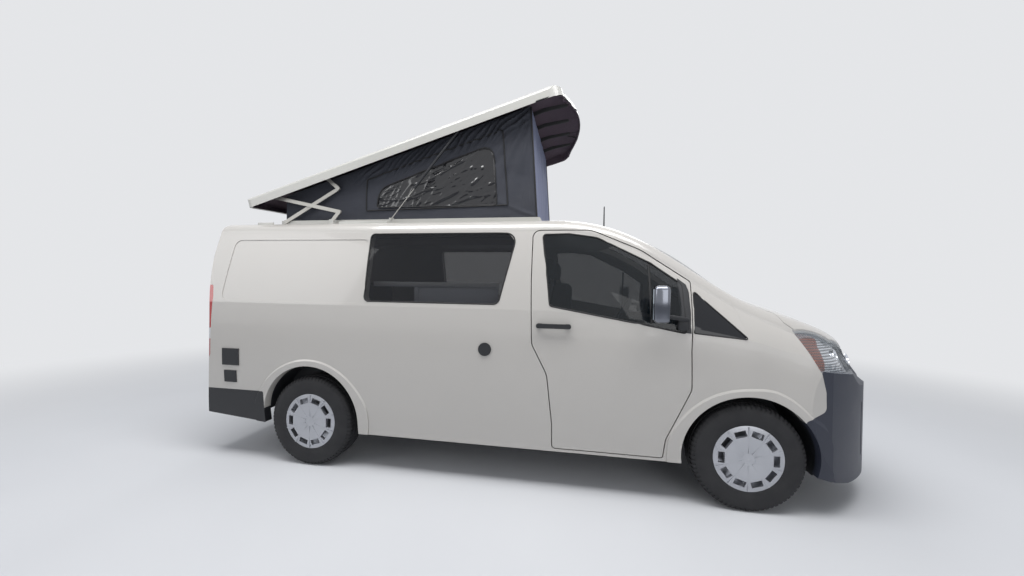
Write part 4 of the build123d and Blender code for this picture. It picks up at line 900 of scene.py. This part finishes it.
# %% Nose ribs and rim seal
RIB_PLACES = (-0.45, -0.15, 0.15, 0.45)
RIB_ENDS = (0.19, 0.50)
RIB_DEPTH = (0.034, 0.016)
RIB_WIDTH = 0.070
BELOW_SHELL = 1.960
NOSE_PIVOT, NOSE_START = -0.10, 0.16
RIM_STEP = 3
SEAL_RISE, SEAL_RADIUS = 0.005, 0.006
shell_mesh = NODES["roof_shell"].data
shell_points = [closed_place(vertex.co) for vertex in shell_mesh.vertices]
shell_tree = BVHTree.FromPolygons(shell_points, [face.vertices[:] for face in shell_mesh.polygons])
lowest = {}
for point in shell_points:
    if point.x < NOSE_START:
        continue
    direction = round(math.degrees(math.atan2(point.y, point.x - NOSE_PIVOT)) / RIM_STEP)
    if direction not in lowest or point.z < lowest[direction].z:
        lowest[direction] = point
rim_line = [lowest[direction] for direction in sorted(lowest)]
rim_line = [(a + b + c) / 3 for a, b, c in zip(rim_line, rim_line[1:], rim_line[2:])]
raised_rim = [raised_place(point + Vector((0, 0, SEAL_RISE))) for point in rim_line]
seal = tube("shell_seal", raised_rim, SEAL_RADIUS)
finished(seal, SEAL_RUBBER, "roof_shell", 60)


def ceiling(x, y):
    """The height of the shell's inside over a place, in the closed pose."""
    return shell_tree.ray_cast(Vector((x, y, BELOW_SHELL)), Vector((0, 0, 1)))[0].z


for index, y in enumerate(RIB_PLACES):
    deselect()
    bpy.ops.mesh.primitive_cube_add(size=1, location=(0, 0, 0))
    rib = bpy.context.object
    rib.name = "shell_rib_%d" % (index + 1)
    bpy.ops.object.mode_set(mode="EDIT")
    bpy.ops.mesh.select_all(action="SELECT")
    bpy.ops.mesh.bevel(offset=0.12, segments=2, affect="EDGES")
    bpy.ops.mesh.subdivide(number_cuts=3)
    bpy.ops.object.mode_set(mode="OBJECT")
    for vertex in rib.data.vertices:
        along, across, up = (value + 0.5 for value in vertex.co)
        x = RIB_ENDS[0] + along * (RIB_ENDS[1] - RIB_ENDS[0])
        depth = RIB_DEPTH[0] + along * (RIB_DEPTH[1] - RIB_DEPTH[0])
        width = RIB_WIDTH * (0.35 + 0.65 * along) * (0.4 + 0.6 * up)
        vertex.co = raised_place((x, y + (across - 0.5) * width, ceiling(x, y) + 0.002 - depth * (1 - up)))
    finished(rib, SEAL_RUBBER, "roof_shell", 40)
print("rim seal points", len(rim_line))

# %% [markdown]
# Behind each clear lens lies a bright bowl with an amber side lamp at its rear edge, and in it two round
# lamp units. The bowl is the outer skin of the lens, drawn in by a few centimetres. Its ribs are not
# modelled: the shade between them is painted into the material as dark bands, and the material turns
# amber towards the wheel. A lamp unit is one drawn line that is spun and turned to face forwards.

# %% Headlamp bowls
AMBER_LIMIT = 2.03
BOWL_RIBS = 20.0
BOWL_DEPTH = 0.030
LENS_WAY, LENS_SPREAD = (0.45, 0.75, 0.48), 0.75
LAMP_WAY = (0.72, 0.60, 0.28)
# Columns: x, y, z, radius
LAMP_UNITS = ((2.16, 0.760, 1.015, 0.044), (2.30, 0.640, 0.985, 0.036))
# Columns: share of the radius, height
LAMP_LINE = ((0.0, 0.0), (0.55, 0.0), (0.9, 0.012), (1.0, 0.020), (1.12, 0.020), (1.12, 0.014))


def on_side(side, place):
    """A place on the right or left of the van, from its place on the left."""
    return Vector((place[0], side * place[1], place[2]))


def lamp_material():
    """Silver that turns amber behind a limit along the van, with painted shade in dark bands between its
    ribs.
    """
    material = finish_of("lamp_bowl", (0.72, 0.74, 0.78), 0.16, 8.0, 0.04, Metallic=0.9)
    tree = material.node_tree
    shader = tree.nodes["Principled BSDF"]
    two_tone(material, (0.34, 0.085, 0.03), (1, 0, 0), 1.0, AMBER_LIMIT)
    ribs = tree.nodes.new("ShaderNodeTexWave")
    ribs.bands_direction = "Z"
    ribs.inputs["Scale"].default_value = BOWL_RIBS
    place = tree.nodes.new("ShaderNodeTexCoord")
    # The dark bands between the ribs are painted shade, multiplied into the colour.
    painted_rib_shade = tree.nodes.new("ShaderNodeMix")
    painted_rib_shade.data_type, painted_rib_shade.blend_type = "RGBA", "MULTIPLY"
    painted_rib_shade.inputs["Factor"].default_value = 0.85
    tree.links.new(place.outputs["Object"], ribs.inputs["Vector"])
    tree.links.new(shader.inputs["Base Color"].links[0].from_socket, painted_rib_shade.inputs["A"])
    tree.links.new(ribs.outputs["Color"], painted_rib_shade.inputs["B"])
    tree.links.new(painted_rib_shade.outputs["Result"], shader.inputs["Base Color"])
    return material


def not_lens_front(centre, normal):
    """Faces of the lens that don't look forwards and outwards."""
    return normal.dot(on_side(math.copysign(1, centre.y), LENS_WAY)) < LENS_SPREAD


LAMP_BOWL = lamp_material()
bowls = skin_copy("headlamps", "headlamp_bowls", not_lens_front, -BOWL_DEPTH)
finished(bowls, LAMP_BOWL, "body", 30)
for side, side_name in SIDES:
    for index, (x, y, z, radius) in enumerate(LAMP_UNITS):
        line = drawn_line("lamp_unit_%s_%d" % (side_name, index + 1),
                          [(radius * share, 0, height) for share, height in LAMP_LINE])
        unit = spun(line, (0, 0, 0), (0, 0, 1), 40)
        unit.rotation_euler = on_side(side, LAMP_WAY).normalized().to_track_quat("Z", "Y").to_euler()
        unit.location = on_side(side, (x, y, z))
        finished(unit, REFLECTOR, "body", 30)
print("bowl faces", len(bowls.data.polygons))

# %% [markdown]
# Rubber seals, bars and trims lie on the body's side, which is curved. Their outlines are drawn in the
# side view and laid on the side by casting each point sideways onto the solids.

# %% Laying trims on the side
DOOR_HALF_WIDTH = 0.93
SEAL_STEP = 0.05


def caster(names):
    """A function that finds the van's surface at a place in the side view, among some nodes."""
    trees = []
    for name in names:
        mesh = NODES[name].data
        trees.append(BVHTree.FromPolygons([vertex.co for vertex in mesh.vertices],
                                          [face.vertices[:] for face in mesh.polygons]))

    def surface(x, z, side, proud=0.0):
        hits = [tree.ray_cast(Vector((x, side * 2.0, z)), Vector((0, -side, 0)))[0] for tree in trees]
        reached = [abs(hit.y) for hit in hits if hit is not None]
        return Vector((x, side * (max(reached) + proud), z)) if reached else None
    return surface


def plate_on(surface, name, outline, side, thickness, proud, steps=8):
    """A thin plate with an outline in the side view, that follows the surface."""
    middle = Vector([sum(values) / len(outline) for values in zip(*outline)])
    deselect()
    bpy.ops.mesh.primitive_grid_add(x_subdivisions=len(outline), y_subdivisions=steps, size=1)
    plate = bpy.context.object
    plate.name = name
    count = len(outline)
    for vertex in plate.data.vertices:
        turn = (vertex.co.x + 0.5) * count
        share = vertex.co.y + 0.5
        index = int(turn) % count
        edge = Vector(outline[index]).lerp(Vector(outline[(index + 1) % count]), turn - int(turn))
        x, z = middle.lerp(edge, max(share, 0.02))
        place = surface(x, z, side, proud)
        vertex.co = place if place else Vector((x, side * DOOR_HALF_WIDTH, z))
    only(plate)
    bpy.ops.object.mode_set(mode="EDIT")
    bpy.ops.mesh.select_all(action="SELECT")
    bpy.ops.mesh.remove_doubles(threshold=0.0001)
    bpy.ops.mesh.normals_make_consistent(inside=False)
    bpy.ops.object.mode_set(mode="OBJECT")
    return thickened(plate, thickness)


def seal_on(surface, name, line, side, radius, body, proud=0.0, closed=True):
    """A rubber bead along a line in the side view, on the surface."""
    places = [surface(point.x, point.y, side, proud) for point in spread(line, SEAL_STEP, closed)]
    bead = tube(name, [place for place in places if place], radius, closed)
    return finished(bead, SEAL_RUBBER, body, 60)


print("the door's skin at one place", caster(["door_right"])(0.5, 1.0, -1))

# %% [markdown]
# A bead of rubber edges each window. A black bar divides the door's glass, and a black sail fills the
# glass's front corner, where the mirror stands. Their outlines were read from the photograph through the
# camera.

# %% Seals, bars and sails
SAIL = [(1.150, 1.178), (1.190, 1.165), (1.219, 1.163), (1.221, 1.300), (1.221, 1.440), (1.205, 1.490),
        (1.150, 1.533)]
DOOR_GLASS_LINE = rounded([
    (0.207, 1.846, 0.03), (0.275, 1.322, 0.03), (0.930, 1.210, 0.0001), (1.188, 1.161, 0.02),
    (1.178, 1.492, 0.025), (0.968, 1.640, 0.20), (0.600, 1.822, 0.15), (0.400, 1.850, 0.0001)])
REAR_GLASS_LINE = rounded([
    (-1.174, 1.860, 0.04), (-1.162, 1.325, 0.05), (-0.100, 1.325, 0.06), (0.020, 1.860, 0.09)])
QUARTER_LINE = rounded([(1.236, 1.166, 0.015), (1.252, 1.449, 0.015), (1.575, 1.134, 0.012)])
DIVIDER = [Vector((0.966, 1.222)), Vector((0.958, 1.628))]
for (side, side_name), wall in zip(SIDES, ("side_panel_right", "sliding_door")):
    door_body = "door_" + side_name
    door_surface = caster(["door_" + side_name, "door_glass_" + side_name])
    wall_surface = caster([wall, "side_glass", "front_fenders", "side_panel_" + side_name])
    seal_on(door_surface, "door_seal_" + side_name, DOOR_GLASS_LINE, side, 0.006, door_body)
    seal_on(door_surface, "door_divider_" + side_name, DIVIDER, side, 0.009, door_body, -0.004, closed=False)
    sail = plate_on(door_surface, "door_sail_" + side_name, SAIL, side, 0.003, 0.0022)
    finished(sail, BLACK_PLASTIC, door_body, 30)
    seal_on(wall_surface, "rear_window_seal_" + side_name, REAR_GLASS_LINE, side, 0.006, "body")
    seal_on(wall_surface, "quarter_seal_" + side_name, QUARTER_LINE, side, 0.005, "body")
print("side trims", len([item for item in bpy.data.objects if "seal" in item.name or "sail" in item.name]))

# %% [markdown]
# Each door mirror has a bright housing, narrower towards the front, a dark pane on its rear face and a
# black arm that bends down to a foot on the sail. They are blocks with rounded edges. The housing stands
# for the solid's mirror, and all three ride on the door.

# %% Door mirrors
MIRROR_BOTTOM, MIRROR_TOP = 1.238, 1.478
MIRROR_REAR, MIRROR_FRONT = 0.948, 1.054
MIRROR_INNER, MIRROR_OUTER = 1.016, 1.135
MIRROR_ROUNDING = 0.032
FRONT_SHARE = (1, 0.80, 0.84)
PANE_REAR, PANE_FRONT = 0.944, 0.950
PANE_IN_SIDE, PANE_IN_EDGE = 0.018, 0.022
ARM_BOX = (1.000, 0.990, 1.268), (1.200, 1.042, 1.298)
FOOT_BOX = (1.128, 0.925, 1.182), (1.200, 0.985, 1.268)
ARM_BEND_FROM, ARM_BEND_LENGTH = 1.02, 0.18
ARM_BEND_IN, ARM_BEND_DOWN = 0.055, 0.030


def soft_box(name, low, high, width, segments=2):
    """A block between two corners, with rounded edges."""
    deselect()
    low, high = [Vector(values) for values in zip(*[sorted(pair) for pair in zip(low, high)])]
    bpy.ops.mesh.primitive_cube_add(size=1, location=(low + high) / 2)
    block = bpy.context.object
    block.name = name
    block.scale = high - low
    bpy.ops.object.transform_apply(location=True, rotation=True, scale=True)
    bpy.ops.object.mode_set(mode="EDIT")
    bpy.ops.mesh.select_all(action="SELECT")
    bpy.ops.mesh.bevel(offset=width, segments=segments, affect="EDGES")
    bpy.ops.object.mode_set(mode="OBJECT")
    return block


def joined(name, parts):
    """Joins parts into the first of them."""
    only(parts[0])
    for part in parts[1:]:
        part.select_set(True)
    bpy.ops.object.join()
    parts[0].name = name
    return parts[0]


MIRROR_GLASS = finish_of("mirror_glass", (0.30, 0.33, 0.36), 0.04, 6.0, 0.02, Metallic=1.0)
for side, side_name in SIDES:
    housing = soft_box("housing", (MIRROR_REAR, side * MIRROR_INNER, MIRROR_BOTTOM),
                       (MIRROR_FRONT, side * MIRROR_OUTER, MIRROR_TOP), MIRROR_ROUNDING, 5)
    select_faces(housing, lambda centre, normal: normal.x > 0.9)
    bpy.ops.transform.resize(value=FRONT_SHARE)
    bpy.ops.object.mode_set(mode="OBJECT")
    arm = soft_box("arm", *[on_side(side, corner) for corner in ARM_BOX], 0.010, 3)
    for vertex in arm.data.vertices:
        bent = max(0.0, vertex.co.x - ARM_BEND_FROM) / ARM_BEND_LENGTH
        vertex.co.y -= side * ARM_BEND_IN * bent
        vertex.co.z -= ARM_BEND_DOWN * bent
    foot = soft_box("foot", *[on_side(side, corner) for corner in FOOT_BOX], 0.012, 3)
    finished(joined("mirror_arm_" + side_name, [arm, foot]), BLACK_PLASTIC, "door_" + side_name)
    finished(housing, CHROME_PAINTED_DARK_REFLECTION, "door_" + side_name, 40, ["mirror_" + side_name])
    housing.name = "mirror_housing_" + side_name
    pane = soft_box("mirror_glass_" + side_name,
                    (PANE_REAR, side * (MIRROR_INNER + PANE_IN_SIDE), MIRROR_BOTTOM + PANE_IN_EDGE),
                    (PANE_FRONT, side * (MIRROR_OUTER - PANE_IN_SIDE), MIRROR_TOP - PANE_IN_EDGE), 0.0015)
    finished(pane, MIRROR_GLASS, "door_" + side_name)
print("mirror height", round(MIRROR_TOP - MIRROR_BOTTOM, 3), "m")

# %% [markdown]
# Two small things stand on the roof. The aerial is a whip on a round foot, spun from one drawn line, and
# stands for the solid's. Two pale plates on each edge of the roof carry the arms and the strut.

# %% Aerial whip and roof plates
PLATE_SPANS = ((-2.30, -2.15), (-1.52, -1.08))
PLATE_INNER, PLATE_OUTER = 0.734, 0.750
PLATE_BOTTOM, PLATE_TOP = 1.930, 1.978
low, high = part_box("aerial")
foot = (low + high) / 2
whip_line = [(0.0205, low.z + 0.012), (0.018, low.z + 0.030), (0.009, low.z + 0.040),
             (0.0065, low.z + 0.075), (0.0050, high.z - 0.01), (0.0038, high.z - 0.001), (0.0, high.z)]
whip = spun(drawn_line("aerial_whip", [(radius, 0, z) for radius, z in whip_line]), (0, 0, 0), (0, 0, 1), 24)
whip.location = (foot.x, foot.y, 0)
finished(whip, BLACK_PLASTIC, "body", 40, ["aerial"])
for side, side_name in SIDES:
    for index, (start, end) in enumerate(PLATE_SPANS):
        plate = soft_box("roof_plate_%s_%d" % (side_name, index + 1),
                         (start, side * PLATE_INNER, PLATE_BOTTOM), (end, side * PLATE_OUTER, PLATE_TOP),
                         0.003)
        finished(plate, SHELL_GLOSS, "body")
print("whip height", round(high.z - low.z, 3))

# %% [markdown]
# The seats and the bench are foam under cloth. Each cushion is a block that is subdivided, rounded off
# and puffed up in the middle, with a slight unevenness. The places of the cushions come from the solids'
# plain seats.

# %% Seats and bench
SEAT_MIDDLE = 0.420
CUSHION_ROUNDING = 0.28
UNEVENNESS = 0.004
# Columns: name, lower and upper corner from the seat's middle, lean, puff
SEAT_CUSHIONS = (
    ("cushion", (0.345, -0.235, 0.872), (0.845, 0.235, 0.962), 0.0, 0.016),
    ("back", (0.215, -0.225, 0.915), (0.335, 0.225, 1.485), -6.0, 0.016),
    ("head", (0.178, -0.120, 1.535), (0.270, 0.120, 1.690), 0.0, 0.008),
)
# Columns: name, lower and upper corner from the seat's middle, rounding of the edges
SEAT_BLOCKS = (
    ("base", (0.400, -0.188, 0.482), (0.780, 0.188, 0.880), 0.01),
    ("post", (0.212, -0.050, 1.480), (0.232, 0.050, 1.545), 0.004),
)
BENCH_LEAN = -4.0
BENCH_END_GAP, BENCH_MIDDLE_GAP = 0.008, 0.003


def cushion(name, low, high, lean=0.0, puff=0.016):
    """A padded block between two corners, turned round its lower rear edge by an angle in degrees."""
    block = soft_box(name, low, high, min(high[i] - low[i] for i in range(3)) * CUSHION_ROUNDING, 3)
    only(block)
    bpy.ops.object.mode_set(mode="EDIT")
    bpy.ops.mesh.select_all(action="SELECT")
    bpy.ops.mesh.subdivide(number_cuts=2, smoothness=0.2)
    bpy.ops.object.mode_set(mode="OBJECT")
    middle, half = (Vector(low) + Vector(high)) / 2, (Vector(high) - Vector(low)) / 2
    turn = Matrix.Rotation(math.radians(-lean), 3, "Y")
    pivot = Vector((low[0], middle.y, low[2]))
    for vertex in block.data.vertices:
        share = [(vertex.co[i] - middle[i]) / half[i] for i in range(3)]
        swell = [max(0.0, 1 - share[i] ** 2) for i in range(3)]
        crease = UNEVENNESS * noise.noise(vertex.co * 7)
        for i in range(3):
            others = swell[(i + 1) % 3] * swell[(i + 2) % 3]
            vertex.co[i] += (puff * others + crease) * share[i]
        vertex.co = turn @ (vertex.co - pivot) + pivot
    return block


def shifted(place, y):
    """A place moved across the van."""
    return (place[0], place[1] + y, place[2])


for side, side_name in SIDES:
    y = side * SEAT_MIDDLE
    parts = [cushion(name, shifted(low, y), shifted(high, y), lean, puff)
             for name, low, high, lean, puff in SEAT_CUSHIONS]
    parts += [soft_box(name, shifted(low, y), shifted(high, y), rounding)
              for name, low, high, rounding in SEAT_BLOCKS]
    seat = joined("front_seat_" + side_name, parts)
    finished(seat, SEAT_CLOTH, "body", 50, ["front_seats"] if side < 0 else ())
bench_low, bench_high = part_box("rear_bench")
y_low, y_high = bench_low.y + BENCH_END_GAP, bench_high.y - BENCH_END_GAP
split = (y_low + y_high) / 2
parts = [soft_box("base", (-1.755, y_low + 0.035, 0.482), (-1.265, y_high - 0.055, 0.882), 0.01)]
for start, end in ((y_low, split - BENCH_MIDDLE_GAP), (split + BENCH_MIDDLE_GAP, y_high)):
    parts.append(cushion("cushion", (-1.770, start, 0.875), (-1.215, end, 0.972)))
    parts.append(cushion("back", (-1.905, start, 0.925), (-1.785, end, 1.465), BENCH_LEAN))
bench = joined("rear_bench_padded", parts)
finished(bench, SEAT_CLOTH, "body", 50, ["rear_bench"])
print("bench faces", len(bench.data.polygons))

# %% [markdown]
# The solids round the tailgate keep a thin web of wall across its opening, which is open on the real van.
# Each of them is shown by a copy that is cut through along the opening. The cut leaves the outer skin as
# it is, and the copy takes its shading from the solid.

# %% Tailgate opening
OPENING_CORNERS = [(0.765, 0.62), (0.765, 1.40), (0.672, 1.70), (0.655, 1.86)]
OPENING_FRONT, OPENING_REAR = -2.50, -2.60
SAME_PLACE = 0.0001
ALIKE = 0.9
opening = OPENING_CORNERS + [(-y, z) for y, z in reversed(OPENING_CORNERS)]
cutter = drawn_line("opening_cutter", [(OPENING_REAR, y, z) for y, z in opening])
bpy.ops.object.mode_set(mode="EDIT")
bpy.ops.mesh.select_all(action="SELECT")
bpy.ops.mesh.edge_face_add()
bpy.ops.mesh.extrude_region_move(TRANSFORM_OT_translate={"value": (OPENING_FRONT - OPENING_REAR, 0, 0)})
bpy.ops.mesh.select_all(action="SELECT")
bpy.ops.mesh.normals_make_consistent(inside=False)
bpy.ops.object.mode_set(mode="OBJECT")


def take_shading(piece, solid):
    """Gives each corner of a copy the solid's normal at that place, from the face that looks most alike."""
    mesh, normals = solid.data, solid.data.corner_normals
    corners = kdtree.KDTree(len(mesh.loops))
    way_of = {}
    for face in mesh.polygons:
        for loop in face.loop_indices:
            corners.insert(mesh.vertices[mesh.loops[loop].vertex_index].co, loop)
            way_of[loop] = face.normal.copy()
    corners.balance()
    taken = []
    for face in piece.data.polygons:
        for loop in face.loop_indices:
            place = piece.data.vertices[piece.data.loops[loop].vertex_index].co
            near = [item[1] for item in corners.find_range(place, SAME_PLACE)]
            best = max(near, key=lambda index: way_of[index].dot(face.normal), default=None)
            alike = best is not None and way_of[best].dot(face.normal) > ALIKE
            taken.append(normals[best].vector.copy() if alike else face.normal.copy())
    piece.data.normals_split_custom_set(taken)


def opened(node, material):
    """A copy of a solid with the opening cut through it, shaded as the solid is."""
    piece = copied(NODES[node], node + "_opened")
    bpy.ops.object.mode_set(mode="EDIT")
    bpy.ops.mesh.select_all(action="SELECT")
    bpy.ops.mesh.remove_doubles(threshold=0.00002)
    bpy.ops.object.mode_set(mode="OBJECT")
    cut = piece.modifiers.new("opening", "BOOLEAN")
    cut.operation, cut.solver, cut.object = "DIFFERENCE", "EXACT", cutter
    bpy.ops.object.modifier_apply(modifier=cut.name)
    finished(piece, material, "body", 30, [node])
    take_shading(piece, NODES[node])
    return piece


for node in ("side_panel_right", "side_panel_left", "roof_panel"):
    print(node, "faces", len(opened(node, PAINT).data.polygons))
print("tail_lamps faces", len(opened("tail_lamps", LAMP_RED).data.polygons))
bpy.data.objects.remove(cutter)

# %% [markdown]
# Through the rear window shows the back of the kitchen unit: a pale board with a light top rail and an
# opening at its rear end.

# %% Kitchen back board
# Columns: name, lower rear right corner, upper front left corner, rounding of the edges
BOARD_PARTS = (
    ("top_rail", (-1.165, -0.800, 1.440), (-0.130, -0.782, 1.480), 0.003),
    ("panel", (-0.780, -0.796, 1.053), (-0.130, -0.786, 1.438), 0.001),
    ("end_post", (-0.815, -0.800, 1.053), (-0.782, -0.782, 1.438), 0.003),
    ("low_panel", (-1.165, -0.796, 1.053), (-0.817, -0.786, 1.250), 0.001),
)
board = joined("galley_back_board", [soft_box(*part) for part in BOARD_PARTS])
finished(board, CABINET, "body")
print("board faces", len(board.data.polygons))
